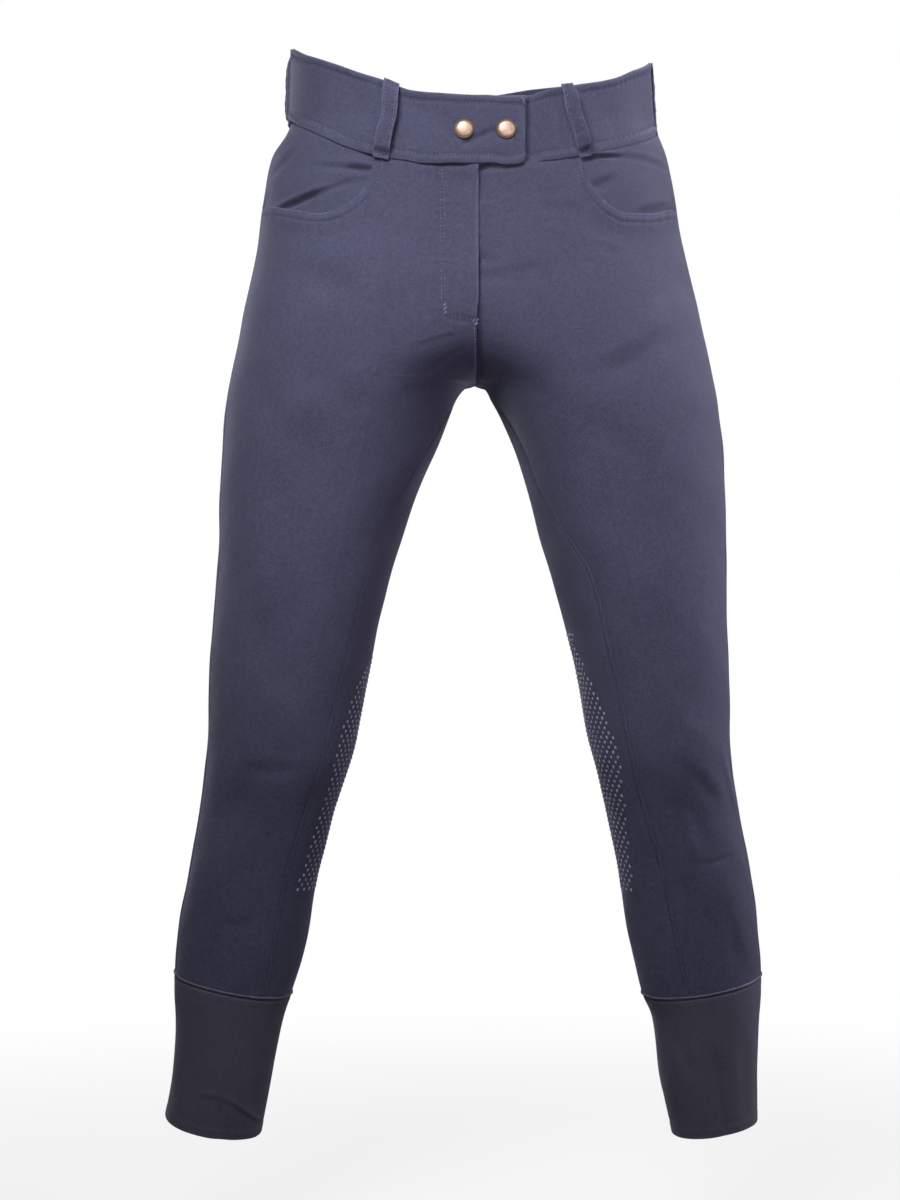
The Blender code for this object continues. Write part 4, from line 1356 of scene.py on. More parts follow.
def build_weave(name):
    """Diagonal ribs of a fine twill, a little uneven, and the tone of single yarns."""
    group, given, made = shader_group(
        name,
        [("Lay", "NodeSocketVector", None), ("Pitch", "NodeSocketFloat", 0.0007),
         ("Unevenness", "NodeSocketFloat", 0.5)],
        [("Height", "NodeSocketFloat"), ("Tone", "NodeSocketFloat")],
    )
    per_rib = reckon(group, "DIVIDE", 1.0, given.outputs["Pitch"])
    place = put(group, "ShaderNodeVectorMath", {0: given.outputs["Lay"], "Scale": per_rib},
                operation="SCALE").outputs["Vector"]
    shift = reckon(group, "MULTIPLY", noise(group, place, 0.35), given.outputs["Unevenness"])
    across, down = put(group, "ShaderNodeSeparateXYZ", {0: place}).outputs[:2]
    slope = reckon(group, "ADD", reckon(group, "ADD", across, down), shift)
    rib = reckon(group, "SINE", reckon(group, "MULTIPLY", slope, 2 * math.pi))
    turn = reckon(group, "MULTIPLY", reckon(group, "SUBTRACT", across, shift), 4 * math.pi)
    yarn = reckon(group, "SINE", turn)
    height = reckon(group, "ADD", reckon(group, "MULTIPLY", rib, 0.34), reckon(group, "MULTIPLY", yarn, 0.14))
    tones = []
    for squeeze in ((1.4, 0.22, 1.0), (0.22, 1.4, 1.0)):
        squeezed = put(group, "ShaderNodeVectorMath", {0: place, 1: squeeze}, operation="MULTIPLY")
        tones.append(noise(group, squeezed.outputs["Vector"], 1.0, 1.0))
    tone = reckon(group, "MULTIPLY", reckon(group, "ADD", *tones), 0.5)
    feed(group, made, {"Height": reckon(group, "ADD", height, 0.5), "Tone": tone})
    return group


def build_heather(name):
    """Mottling of the cloth's tone: fine flecks, small clouds and broad ones."""
    group, given, made = shader_group(
        name,
        [("Place", "NodeSocketVector", None), ("Flecks", "NodeSocketFloat", 0.5),
         ("Clouds", "NodeSocketFloat", 0.5)],
        [("Tone", "NodeSocketFloat")],
    )
    layers = ((750.0, "Flecks", 2.0), (260.0, "Flecks", 1.0), (34.0, "Clouds", 1.0), (9.0, "Clouds", 1.2))
    parts = []
    for scale, strength, weight in layers:
        centred = reckon(group, "SUBTRACT", noise(group, given.outputs["Place"], scale), 0.5)
        weighed = reckon(group, "MULTIPLY", centred, weight)
        parts.append(reckon(group, "MULTIPLY", weighed, given.outputs[strength]))
    total = parts[0]
    for part in (*parts[1:], 0.5):
        total = reckon(group, "ADD", total, part)
    feed(group, made, {"Tone": total})
    return group


def build_edge_highlight(name):
    """Lightens a colour along edges, unevenly: a painted highlight where folded edges catch the light."""
    group, given, made = shader_group(
        name,
        [("Color", "NodeSocketColor", None), ("Rub", "NodeSocketFloat", 0.0),
         ("Place", "NodeSocketVector", None), ("Amount", "NodeSocketFloat", 0.3)],
        [("Color", "NodeSocketColor")],
    )
    patchy = reckon(group, "MULTIPLY", noise(group, given.outputs["Place"], 120.0), given.outputs["Rub"])
    patchy = reckon(group, "MULTIPLY", patchy, given.outputs["Amount"])
    bright = put(group, "ShaderNodeVectorMath", {0: given.outputs["Color"], "Scale": 2.6}, operation="SCALE")
    mixed = between(group, patchy, given.outputs["Color"], bright.outputs["Vector"])
    feed(group, made, {"Color": mixed})
    return group


def grouped(tree, name, build, inputs):
    """Adds the node group of this name with these inputs and gives its outputs."""
    group = once(bpy.data.node_groups, name, build)
    return put(tree, "ShaderNodeGroup", inputs, node_tree=group).outputs


def mottled(tree, place, flecks, clouds):
    """The tone of the heather at a place."""
    inputs = {"Place": place, "Flecks": flecks, "Clouds": clouds}
    return grouped(tree, "Heather", build_heather, inputs)["Tone"]


def new_material(name):
    """An empty material, its nodes, its Principled shader and the place on the piece."""
    material = bpy.data.materials.new(name)
    material.use_nodes = True
    tree = material.node_tree
    place = put(tree, "ShaderNodeTexCoord").outputs["Object"]
    return material, tree, tree.nodes["Principled BSDF"], place


def shades(tree, colour, tone, contrast):
    """A colour that the tone makes darker or lighter."""
    dark, light = ((*[c * share for c in colour], 1) for share in (1 - contrast, 1 + contrast))
    return between(tree, tone, dark, light)


def cloth_material(name):
    """Matt woven stretch cloth with heather, yarns, ribs and a painted highlight along its edges."""
    cloth, finish = named(CLOTH_COLUMNS, CLOTHS[name]), chosen_finish()
    material, tree, shader, place = new_material(name)
    lay = put(tree, "ShaderNodeAttribute", attribute_name="cloth_lay").outputs["Vector"]
    highlight_mask = put(tree, "ShaderNodeAttribute", attribute_name="edge_rub").outputs["Fac"]
    pitch = finish.weave_pitch * cloth["pitch"]
    weave = grouped(tree, "Twill weave", build_weave, {"Lay": lay, "Pitch": pitch, "Unevenness": 0.6})
    heather = mottled(tree, place, 1.25, 0.5)
    tone = reckon(tree, "MULTIPLY", reckon(tree, "ADD", weave["Tone"], heather), 0.5)
    colour = [c * cloth["shade"] for c in getattr(finish, cloth["colour"])]
    shaded = shades(tree, colour, tone, cloth["contrast"])
    # Painted highlight: the colour is lightened along the edges.
    rubbed = grouped(tree, "Rubbed edges", build_edge_highlight,
                     {"Color": shaded, "Rub": highlight_mask, "Place": place, "Amount": 0.85})
    height = reckon(tree, "ADD", weave["Height"], reckon(tree, "MULTIPLY", heather, 0.5))
    feed(tree, shader, {
        "Base Color": rubbed["Color"],
        "Roughness": scaled(tree, heather, ROUGHNESS_SPREAD, cloth["roughness"] - ROUGHNESS_SPREAD / 2),
        "Normal": bumped(tree, height, 0.5, cloth["depth"]),
        "Specular IOR Level": 0.22,
        "Sheen Weight": finish.sheen * cloth["sheen"],
        "Sheen Roughness": 0.35,
        "Sheen Tint": SHEEN_TINT,
    })
    return material


def thread_material(name):
    """Twisted sewing thread."""
    material, tree, shader, place = new_material(name)
    colour = [c * THREAD_TONES[name] for c in chosen_finish().thread_colour]
    ply = put(tree, "ShaderNodeTexWave", {"Vector": place, "Scale": 900.0, "Distortion": 1.0},
              bands_direction="DIAGONAL")
    feed(tree, shader, {
        "Base Color": shades(tree, colour, mottled(tree, place, 1.6, 0.6), 0.5),
        "Roughness": 0.62,
        "Normal": bumped(tree, ply.outputs["Fac"], 0.5, FINE_RELIEF),
        "Sheen Weight": 0.2,
    })
    return material


def print_material(name):
    """Raised silicone dots with a soft gloss."""
    material, tree, shader, place = new_material(name)
    heather = mottled(tree, place, 0.6, 1.2)
    feed(tree, shader, {
        "Base Color": shades(tree, chosen_finish().print_colour, heather, 0.35),
        "Roughness": scaled(tree, heather, 0.2, 0.32),
    })
    return material


def brass_material(name):
    """Satin brass, darker in its groove and lightly brushed and worn on its crown."""
    brass = chosen_finish().brass_colour
    material, tree, shader, place = new_material(name)
    groove = put(tree, "ShaderNodeAttribute", attribute_name="groove").outputs["Fac"]
    heather = mottled(tree, place, 1.0, 1.0)
    dark = (*[c * share for c, share in zip(brass, BRASS_IN_GROOVE)], 1)
    feed(tree, shader, {
        "Base Color": between(tree, groove, shades(tree, brass, heather, 0.25), dark),
        "Roughness": scaled(tree, groove, 0.2, scaled(tree, heather, 0.14, 0.46)),
        "Normal": bumped(tree, heather, 0.25, FINE_RELIEF),
        "Metallic": 1.0,
    })
    return material


# Panels.


def panel_rows():
    """Levels of the rows that all panels share between TOP_LEVEL and FOOT_LEVEL."""
    even = np.arange(TOP_LEVEL - ROW_PITCH, FOOT_LEVEL, -ROW_PITCH)
    fine = np.arange(CROTCH - FINE_REACH, CROTCH + FINE_REACH, FINE_PITCH)
    levels = np.concatenate((even[np.abs(even - CROTCH) > FINE_REACH], fine, [CROTCH, FOOT_LEVEL]))
    return np.unique(np.round(levels, 3))[::-1]


def panel_grid(shares, top, foot, start_angle, end_angle, face):
    """Angles and levels of a panel: slanted rows under its top edge, level ones, slanted ones."""
    head = edged(np.mean(top) - TOP_LEVEL, HEAD_ROWS)[: -len(EDGE_STEPS)]
    tail = 1 - edged(FOOT_LEVEL - np.mean(foot), FOOT_ROWS)[: -len(EDGE_STEPS)][::-1]
    levels = [top + (TOP_LEVEL - top) * share for share in head]
    levels += [np.full(top.shape, level) for level in panel_rows()]
    levels += [FOOT_LEVEL + (foot - FOOT_LEVEL) * share for share in tail]
    level = np.stack(levels)
    return panel_angles(shares, level, start_angle(level), end_angle(level), face), level


def spaced(side, angle, level):
    """Pulls a grid's border in by half a seam gap and tucks it into the waistband and the cuff."""
    margin = SEAM_GAP / 2 / degree_length(side, angle, level)
    way = np.sign(angle[:, -1] - angle[:, 0])
    angle, level = angle.copy(), level.copy()
    angle[:, 0] += way * margin[:, 0]
    angle[:, -1] -= way * margin[:, -1]
    under_band = level[0] > band_seam(side, angle[0]) - NEAR_SEAM
    level[0] += np.where(under_band, BAND_TUCK, -SEAM_GAP / 2)
    level[-1] -= np.where(level[-1] < FOOT_LEVEL, CUFF_TUCK, -SEAM_GAP / 2)
    return angle, level


def fly_angles(side, level, end_angle):
    """The front edge's angles with the fly's overlap or underlap worked in."""
    edge = FLY_EDGE if side == RIGHT else FLY_UNDERLAP
    reach = edge * ease((level - FLY_FOOT) / FLY_FADE)
    return np.where(level > FLY_FOOT, angle_at(side, reach, level), end_angle)


def front_columns(side):
    """Shares of the front's columns, with more of them at the pocket's steep inner end."""
    shares = edged(PANEL_WIDTH, PANEL_COLUMNS)
    across = np.abs(on_form(side, OUTSEAM + shares * (90 - OUTSEAM), POCKET_LEVEL)[:, 0])
    first = MOUTH[side]["across"][0]
    steep = np.linspace(first, first + STEEP_WIDTH, MOUTH_EXTRA)
    return np.unique(np.round(np.append(shares, np.interp(-steep, -across, shares)), 6))


def keep_across(side, angle, across, level):
    """Angles that keep the columns by the pocket upright down to the mouth's foot."""
    by_pocket = ease((across - POCKET_UPRIGHT[0]) / POCKET_UPRIGHT[1])
    by_pocket = by_pocket * ease((across[0] - across) / POCKET_OUTER)
    upright = by_pocket * ease((level - TOP_LEVEL) / POCKET_DOWN)
    return angle + upright * (angle_at(side, side * across, level) - angle)


def panel_foot(side, shares, start):
    """Levels of a panel's foot on the cuff's seam, from the outseam to the inner seam."""
    angle = start + shares * (float(front_end_angle(side, CUFF_LEVEL)) - start)
    return ring_level(CUFF_SEAMS[side], angle)


def front_grid(side):
    """Angles and levels of a front, cut along the pocket mouth, and its columns' shares."""
    shares = front_columns(side)
    angles = OUTSEAM + shares * (midline_angle(POCKET_LEVEL) - OUTSEAM)
    across = np.abs(on_form(side, angles, POCKET_LEVEL)[:, 0])
    top = band_seam(side, angles)
    for _ in range(TOP_ROUNDS):
        top = band_seam(side, keep_across(side, angles, across, top))
    in_pocket = across > MOUTH[side]["across"][0]
    top = np.where(in_pocket, np.minimum(top, np.interp(across, *mouth_curve(side))), top)
    foot = panel_foot(side, shares, float(outseam_angle(CUFF_LEVEL)))
    angle, level = panel_grid(shares, top, foot, outseam_angle, lambda z: front_end_angle(side, z), "front")
    angle = keep_across(side, angle, across, level)
    edge = fly_angles(side, level[:, -1], angle[:, -1])
    shift = (edge - angle[:, -1])[:, None]
    angle = angle + shift * ease((shares - FLY_SHARES[0]) / FLY_SHARES[1])
    return (*spaced(side, angle, level), shares)


def back_grid(side):
    """Angles and levels of a back, and its columns' shares."""
    shares = edged(PANEL_WIDTH, PANEL_COLUMNS)
    start = 360 + OUTSEAM
    top = band_seam(side, start - shares * (start - 270))
    foot = panel_foot(side, shares, 360 + float(outseam_angle(CUFF_LEVEL)))
    angle, level = panel_grid(shares, top, foot, lambda z: 360 + outseam_angle(z),
                              lambda z: back_end_angle(side, z), "back")
    return (*spaced(side, angle, level), shares)


def softened(points, shares):
    """Points whose turn above the crotch is evened out, except on the panel's inner edge."""
    level = points[:, 0, 2]
    kernel = np.exp(-(((level[:, None] - level) / SOFTENING) ** 2)) * np.abs(np.gradient(level))
    even = np.einsum("ij,jkx->ikx", kernel / kernel.sum(axis=1, keepdims=True), points)
    weight = bump(level - CROTCH + SOFT_BELOW, SOFT_REACH)[:, None] * ease((1 - shares) / SOFT_SHARE)
    return points + weight[..., None] * (even - points)


def folded_edge(side, points):
    """1 along the edges of the front that are folded double: the pocket mouth and the fly."""
    away = -above_mouth(side, points)
    mouth = turned_over(away, *POCKET_FOLD) * gape(side, points, -away) / POCKET_GAPE
    fly = fly_lift(points) / FLY_LIFT if side == RIGHT else 0
    return np.maximum(mouth, fly)


def make_front(side):
    """A front with its pocket mouth; the right one has the fly."""
    angle, level, shares = front_grid(side)
    points, normals = softened(on_form(side, angle, level), shares), outward(side, angle, level)
    lift = front_lift(side, angle, level, points)
    folded = folded_edge(side, points)
    by_pocket = np.abs(points[..., 0]) > MOUTH[side]["across"][0] - 1
    runs, tacks = mouth_runs(side), []
    if side == RIGHT:
        runs += [run_from_route(side, route) for route in (*fly_rows(), FLY_FOOT_ROUTE)]
        tacks = [("tacks", "Pale navy thread", fly_tacks(side))]
    make_cloth(f"front_{SIDE_NAMES[side]}", (points, normals), lift,
               chosen_sizes().cloth_thickness / MM + FOLDED_EXTRA * folded,
               threads=[("stitches", "Navy thread", runs), *tacks],
               near=np.where(by_pocket, -above_mouth(side, points), FAR), rubbed=folded)


def fly_tacks(side):
    """Close stitches at the fly's foot and the row in the seam below it."""
    tacks = [run_from_route(side, [(x + shift, z + shift) for x, z in tack])
             for tack in FLY_TACKS for shift in TACK_ROWS]
    level = np.linspace(FLY_FOOT - FRONT_ROW_ENDS[0], CROTCH + FRONT_ROW_ENDS[1], FRONT_ROW_STEPS)
    end = front_end_angle(side, level)
    return [*tacks, run_on_panel(side, FRONT, end - CENTRE_STITCH / degree_length(side, end, level), level)]


def mouth_runs(side):
    """Twin rows under the pocket mouth, from the waistband's seam to the outseam."""
    across, level = mouth_curve(side)
    way = np.stack((np.gradient(across), np.gradient(level)), axis=1)
    way = unit(way)
    runs = []
    for row in MOUTH_STITCHES:
        route = np.stack((across + way[:, 1] * row, level - way[:, 0] * row), axis=1)
        angles = angles_along(side, route)
        under_band = route[:, 1] < band_seam(side, angles) - NEAR_SEAM
        kept = under_band & (angles > OUTSEAM + 1)
        runs.append(run_on_panel(side, FRONT, angles[kept], route[kept, 1]))
    return runs


def make_back(side):
    """A back with its flat inner seam, sewn zigzag, and the grip print on it."""
    angle, level, shares = back_grid(side)
    points, normals = softened(on_form(side, angle, level), shares), outward(side, angle, level)
    lift = back_lift(side, angle, level, points)
    runs = []
    seam = np.linspace(CROTCH - INNER_ROW_START, CUFF_LEVEL, INNER_ROW_STEPS)
    end = front_end_angle(side, seam)
    angle = end + INNER_STITCH / degree_length(side, end, seam)
    runs.append(run_on_panel(side, BACK, angle, seam, INNER_SLANT))
    top, foot = float(rim_level(270, "seam")) - BACK_ROW_ENDS[0], CROTCH + BACK_ROW_ENDS[1]
    rise = np.linspace(top, foot, BACK_ROW_STEPS)
    end = back_end_angle(side, rise)
    runs.append(run_on_panel(side, BACK, end + CENTRE_STITCH / degree_length(side, end, rise), rise))
    make_cloth(f"back_{SIDE_NAMES[side]}", (points, normals), lift, chosen_sizes().cloth_thickness / MM,
               threads=[("stitches", "Dark navy thread", runs)],
               extras=[bpy.data.objects[f"grip_print_{SIDE_NAMES[side]}"]], rubbed=0.0)


def make_facing(side):
    """The cloth that shows inside a pocket mouth, sunk under the front's edge."""
    thickness = chosen_sizes().cloth_thickness / MM
    shares = edged(PANEL_WIDTH * FACING_END, FACING_STEPS) * FACING_END
    angles = OUTSEAM + shares * (90 - OUTSEAM)
    across = np.abs(on_form(side, angles, POCKET_LEVEL)[:, 0])
    top = band_seam(side, angles)
    mouth = np.interp(across + POCKET_UNDERLAP, *mouth_curve(side))
    bottom = np.minimum(top, mouth) - POCKET_UNDERLAP
    level = top + (bottom - top) * edged(FACING_DEPTH, FACING_STEPS)[:, None]
    angle, level = spaced(side, np.broadcast_to(angles, level.shape), level)
    points, normals = on_form(side, angle, level), outward(side, angle, level)
    away = above_mouth(side, points)
    away = np.where(away == -FAR, FAR * (points[..., 2] > POCKET_LEVEL), away)
    blend = FACING_BLEND + (POCKET_BLEND - FACING_BLEND) * ease(shares / FACING_SHARES[0])
    lift = -(thickness + FACING_CLEARANCE) * (1 - ease(away / blend))
    inside = ease((away / FACING_FADE + 1) / 2) * ease(shares / FACING_SHARES[1])
    lift = lift + crease_lift(side, angle, level, FACING_CREASE_ROWS[side]) * inside
    lift = lift + waves(side, angle, level) * calm(side, angle, level) + outseam_dip(side, angle, level)
    lift = lift + band_dip(side, angle, level)
    make_cloth(f"pocket_facing_{SIDE_NAMES[side]}", (points, normals), lift, thickness,
               "Slate pocket twill", rubbed=0.0)


def make_waistband():
    """The waistband, one strip whose right end is the tab over its left end."""
    end, start = tab_end_bearing(), float(angle_at(RIGHT, UNDERLAP_END, SNAP_LEVEL))
    near_end = np.array(BAND_END_STEPS)
    even = np.linspace(start + BAND_EVEN[0], end - BAND_EVEN[1], BAND_EVEN[2])
    bearings = np.concatenate((start + near_end[:BAND_START_STEPS], even, end - near_end[::-1]))
    top, foot = band_edges(bearings)
    level = top + (foot - top) * edged(*BAND_SIZE)[:, None]
    grid = np.broadcast_to(bearings, level.shape)
    face = on_band(grid, level)
    run = np.linspace(start + 3, end - math.degrees(BAND_STITCH / TAB_RADIUS), BAND_RUN_STEPS)
    upper, lower = (edge + inset for edge, inset in zip(band_edges(run), (-BAND_STITCH, BAND_STITCH)))
    down = np.linspace(float(upper[-1]), float(lower[-1]), TAB_RUN_STEPS)
    rows = ((run, upper), (run, lower), (np.full(TAB_RUN_STEPS, run[-1]), down))
    runs = [(*band_face(*row), 0.0) for row in rows]
    make_cloth("waistband", face, band_lift(grid, level, face[0]), chosen_sizes().band_thickness / MM,
               threads=[("stitches", "Navy thread", runs)], coarse=EVEN_EVERY)


def make_cuff(side):
    """A stretch cuff, a closed tube from its seam down to the hem."""
    angles = np.linspace(0, 360, CUFF_STEPS, endpoint=False) + CUFF_START
    top = ring_level(CUFF_SEAMS[side], angles) - SEAM_GAP / 2
    shares = np.unique(np.concatenate((edged(*CUFF_SIZE), np.arange(*CUFF_FINE) / CUFF_SIZE[0])))
    level = top + (ring_level(HEMS[side], angles) - top) * shares[:, None]
    angle = np.broadcast_to(angles, level.shape)
    face = on_form(side, angle, level), outward(side, angle, level)
    turn = np.append(angles, angles[0] + 360)
    seam = ring_level(CUFF_SEAMS[side], turn) - CUFF_STITCH
    spot, up = on_form(side, turn, seam), outward(side, turn, seam)
    run = (spot + up * cuff_lift(side, turn % 360, seam)[:, None], up, 0.0)
    make_cloth(f"cuff_{SIDE_NAMES[side]}", face, cuff_lift(side, angle % 360, level),
               chosen_sizes().cloth_thickness / MM, "Cuff jersey", "cuff_cloth",
               threads=[("stitches", "Navy thread", [run])], ring=True, coarse=EVEN_EVERY)


def make_loop(name, top_bearing, foot_bearing, gap, width, twist):
    """A strip over the waistband's top edge, bowed out from it and tacked under its seam."""
    path = table(LOOP_PATH_COLUMNS, LOOP_PATH)
    along = edged(*LOOP_SIZE)
    rise = smooth(along, path["share"], path["rise"])
    middle = top_bearing + (foot_bearing - top_bearing) * along
    ends, _ = around(top_bearing + np.array((-0.5, 0.5)), rim_level(top_bearing, "top"))
    reach = width / 2 / float(np.linalg.norm(ends[1] - ends[0]))
    across = edged(width, LOOP_COLUMN_COUNT) * 2 - 1
    grid = middle[:, None] + reach * across
    top = rim_level(grid, "top") + LOOP_OVER_TOP
    foot = rim_level(grid, "seam") - LOOP_BELOW_SEAM
    level = top + (foot - top) * along[:, None]
    points, normals = around(grid, level)
    rest = BAND_STAND + LOOP_STAND + LOOP_CLOTH + LOOP_SLACK
    lift = rest + (gap - LOOP_STAND + twist * across) * rise[:, None]
    lift = lift + stitched(width / 2 * (1 - np.abs(across)) - LOOP_STITCH, level)
    lift = lift + LOOP_WAVE[0] * np.sin(along[:, None] * LOOP_WAVE[1] + across)
    outer = points + normals * lift[..., None]
    places = [int(np.argmin(np.abs(across - edge * (1 - LOOP_STITCH / (width / 2))))) for edge in (-1, 1)]
    rows = slice(LOOP_END_ROWS, -LOOP_END_ROWS)
    runs = [(outer[rows, place], normals[rows, place], 0.0) for place in places]
    runs.append((outer[-LOOP_TACK_ROW], normals[-LOOP_TACK_ROW], 0.0))
    make_cloth(name, (points, normals), lift, LOOP_CLOTH, threads=[("stitches", "Navy thread", runs)],
               coarse=(1, 1))


def make_snap(name, across):
    """A cap seated on the tab's outer face, square to it."""
    side = RIGHT if across < 0 else LEFT
    angle, level = angle_at(side, across, SNAP_LEVEL), np.array(SNAP_LEVEL)
    normal = outward(side, angle, level)
    centre = on_form(side, angle, level) + normal * SNAP_SEAT
    turns = np.radians(np.arange(SNAP_SIDES) * 360 / SNAP_SIDES)
    flat = [(r * np.cos(t), r * np.sin(t), height) for r, height in SNAP_PROFILE[1:] for t in turns]
    flat = np.array([*flat, (0, 0, SNAP_PROFILE[0][1]), (0, 0, SNAP_CROWN)])
    under, crown = len(flat) - 2, len(flat) - 1
    faces = turned_faces(len(SNAP_PROFILE) - 1, SNAP_SIDES, 0, crown, under)
    turned = Vector(normal).to_track_quat("Z", "Y").to_matrix()
    mesh = closed_mesh(name, flat @ np.array(turned).T + centre, faces)
    radius = np.hypot(flat[:, 0], flat[:, 1])
    note(mesh, "groove", "FLOAT", ease((radius - SNAP_GROOVE[0]) / SNAP_GROOVE[1]))
    material = once(bpy.data.materials, "Antique brass", brass_material)
    piece = new_piece(f"{name}_turned", mesh, material)
    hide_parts(name)


def dot(width):
    """One silicone dot: its points along, across and above the cloth, and its faces."""
    long, wide = (width / 2 * share for share in DOT_SHAPE)
    turn = np.arange(DOT_SIDES) * 2 * math.pi / DOT_SIDES
    points = [(long * share * math.cos(t), wide * share * math.sin(t), height)
              for share, height in DOT_PROFILE for t in turn]
    faces = turned_faces(len(DOT_PROFILE), DOT_SIDES, 0, len(points))
    return np.array([*points, (0, 0, DOT_CROWN)]), faces


def make_grip(side):
    """Silicone dots in a diamond lattice on the inside of the knee and the calf."""
    sizes = chosen_sizes()
    pitch = sizes.dot_pitch / MM
    top, foot = GRIP_ENDS[side]
    dice = np.random.default_rng(GRIP_SEED + side)
    places = []
    for row, level in enumerate(np.arange(top, foot, -pitch)):
        front = angle_at(side, side * smooth(level, GRIP["level"], GRIP[SIDE_NAMES[side]]), level)
        scale = float(degree_length(side, np.array(180.0), np.array(level)))
        near_end = 1 - min(min(top - level, level - foot) / GRIP_CORNER, 1)
        corner = GRIP_CORNER * (1 - math.sqrt(1 - near_end**2))
        columns = np.arange(-GRIP_SPAN, GRIP_SPAN) * pitch * 2 + (row % 2) * pitch
        angles = 180 + columns / scale
        angles = angles[(angles > front) & (angles < GRIP_BACK_ANGLE - GRIP_BACK_CORNER * corner / scale)]
        if len(angles):
            points, normals = panel_face(side, BACK, angles, np.full(len(angles), float(level)))
            down = unit(np.array((0, 0, -1.0)) + normals * normals[:, 2:])
            size = dice.normal(1, DOT_UNEVENNESS, (len(angles), 1))
            ways = np.stack((down * size, np.cross(normals, down) * size, normals), axis=1)
            places.append((points - DOT_SINK * normals, ways))
    material = once(bpy.data.materials, "Grip silicone", print_material)
    copies(f"grip_print_{SIDE_NAMES[side]}", dot(sizes.dot_width / MM), places, material)


# The add-on.


class BreechesSizes(bpy.types.PropertyGroup):
    """Sizes that a maker would change."""

    cloth_thickness: FloatProperty(
        name="Cloth thickness", description="Thickness of the stretch twill", default=0.0015, unit="LENGTH")
    band_thickness: FloatProperty(
        name="Band thickness", description="Thickness of the double waistband", default=0.0024, unit="LENGTH")
    stitch_length: FloatProperty(
        name="Stitch length", description="Visible length of one stitch", default=0.0021, unit="LENGTH")
    stitch_gap: FloatProperty(
        name="Stitch gap", description="Gap between two stitches", default=0.00105, unit="LENGTH")
    thread_width: FloatProperty(
        name="Thread width", description="Width of the sewing thread", default=0.0008, unit="LENGTH")
    dot_pitch: FloatProperty(
        name="Dot pitch", description="Half the distance between two silicone dots of a row",
        default=0.0042, unit="LENGTH")
    dot_width: FloatProperty(
        name="Dot width", description="Width of one silicone dot", default=0.0028, unit="LENGTH")
    crease_strength: FloatProperty(
        name="Creases", description="Depth of all creases, as a share of their own", default=1.0,
        subtype="FACTOR", min=0.0, max=2.0)


class BreechesFinish(bpy.types.PropertyGroup):
    """Colours and finish of the materials."""

    cloth_colour: FloatVectorProperty(
        name="Cloth", description="Colour of the stretch twill", default=(0.077, 0.077, 0.136),
        subtype="COLOR", size=3)
    cuff_colour: FloatVectorProperty(
        name="Cuffs", description="Colour of the cuffs' jersey", default=(0.106, 0.096, 0.139),
        subtype="COLOR", size=3)
    thread_colour: FloatVectorProperty(
        name="Thread", description="Colour of the sewing thread", default=(0.1, 0.103, 0.184),
        subtype="COLOR", size=3)
    print_colour: FloatVectorProperty(
        name="Grip print", description="Colour of the silicone dots", default=(0.36, 0.33, 0.46),
        subtype="COLOR", size=3)
    brass_colour: FloatVectorProperty(
        name="Brass", description="Colour of the snap caps", default=(0.56, 0.41, 0.325),
        subtype="COLOR", size=3)
    weave_pitch: FloatProperty(
        name="Weave pitch", description="Distance between two ribs of the twill", default=0.0007,
        unit="LENGTH", precision=5)
    sheen: FloatProperty(
        name="Sheen", description="Soft bloom of the cloth seen along its face", default=0.35,
        subtype="FACTOR", min=0.0, max=1.0)


class BreechesStudio(bpy.types.PropertyGroup):
    """Light and camera."""

    front_power: FloatProperty(
        name="Front light", description="Power of the high light in front", default=2.4, unit="POWER")
    left_power: FloatProperty(
        name="Left light", description="Power of the light at the wearer's left", default=7.0, unit="POWER")
    right_power: FloatProperty(
        name="Right light", description="Power of the light at the wearer's right", default=0.35,
        unit="POWER")
    low_power: FloatProperty(
        name="Low light", description="Power of the low light at the left", default=0.44, unit="POWER")
    back_power: FloatProperty(
        name="Back light", description="Power of the light behind", default=16.0, unit="POWER")
    room_light: FloatProperty(
        name="Room light", description="Strength of the even light from all sides", default=0.05,
        subtype="FACTOR", min=0.0, max=2.0)
    camera_place: FloatVectorProperty(
        name="Camera", description="Place of the camera, level with the middle of the garment",
        default=(-0.0224, -2.4, -0.4312), subtype="XYZ", unit="LENGTH", size=3)
    camera_lens: FloatProperty(
        name="Lens", description="Focal length in millimetres", default=81.82)


class BREECHES_OT_studio(bpy.types.Operator):
    """Set up the floor, the lights, the world and the camera"""

    bl_idname = "breeches.studio"
    bl_label = "Studio"

    def execute(self, context):
        studio = context.scene.breeches_studio
        floor_mesh = bpy.data.meshes.new("floor")
        shape = bmesh.new()
        bmesh.ops.create_circle(shape, cap_ends=True, segments=96, radius=FLOOR_FADE[1] + 0.05)
        shape.to_mesh(floor_mesh)
        shape.free()
        floor_mesh.materials.append(floor_material())
        floor = add_object("floor", floor_mesh)
        floor.location = (0, 0, FLOOR_LEVEL)
        for name, settings in LIGHTS.items():
            add_light(f"{name}_light", getattr(studio, f"{name}_power"), *settings)
        add_world(context, studio.room_light)
        lens = bpy.data.cameras.new("camera")
        lens.lens = studio.camera_lens
        camera = add_object("camera", lens)
        camera.location = studio.camera_place
        camera.rotation_euler = (math.radians(90), 0, 0)
        context.scene.camera = camera
        context.scene.view_settings.view_transform = "Standard"
        return {"FINISHED"}


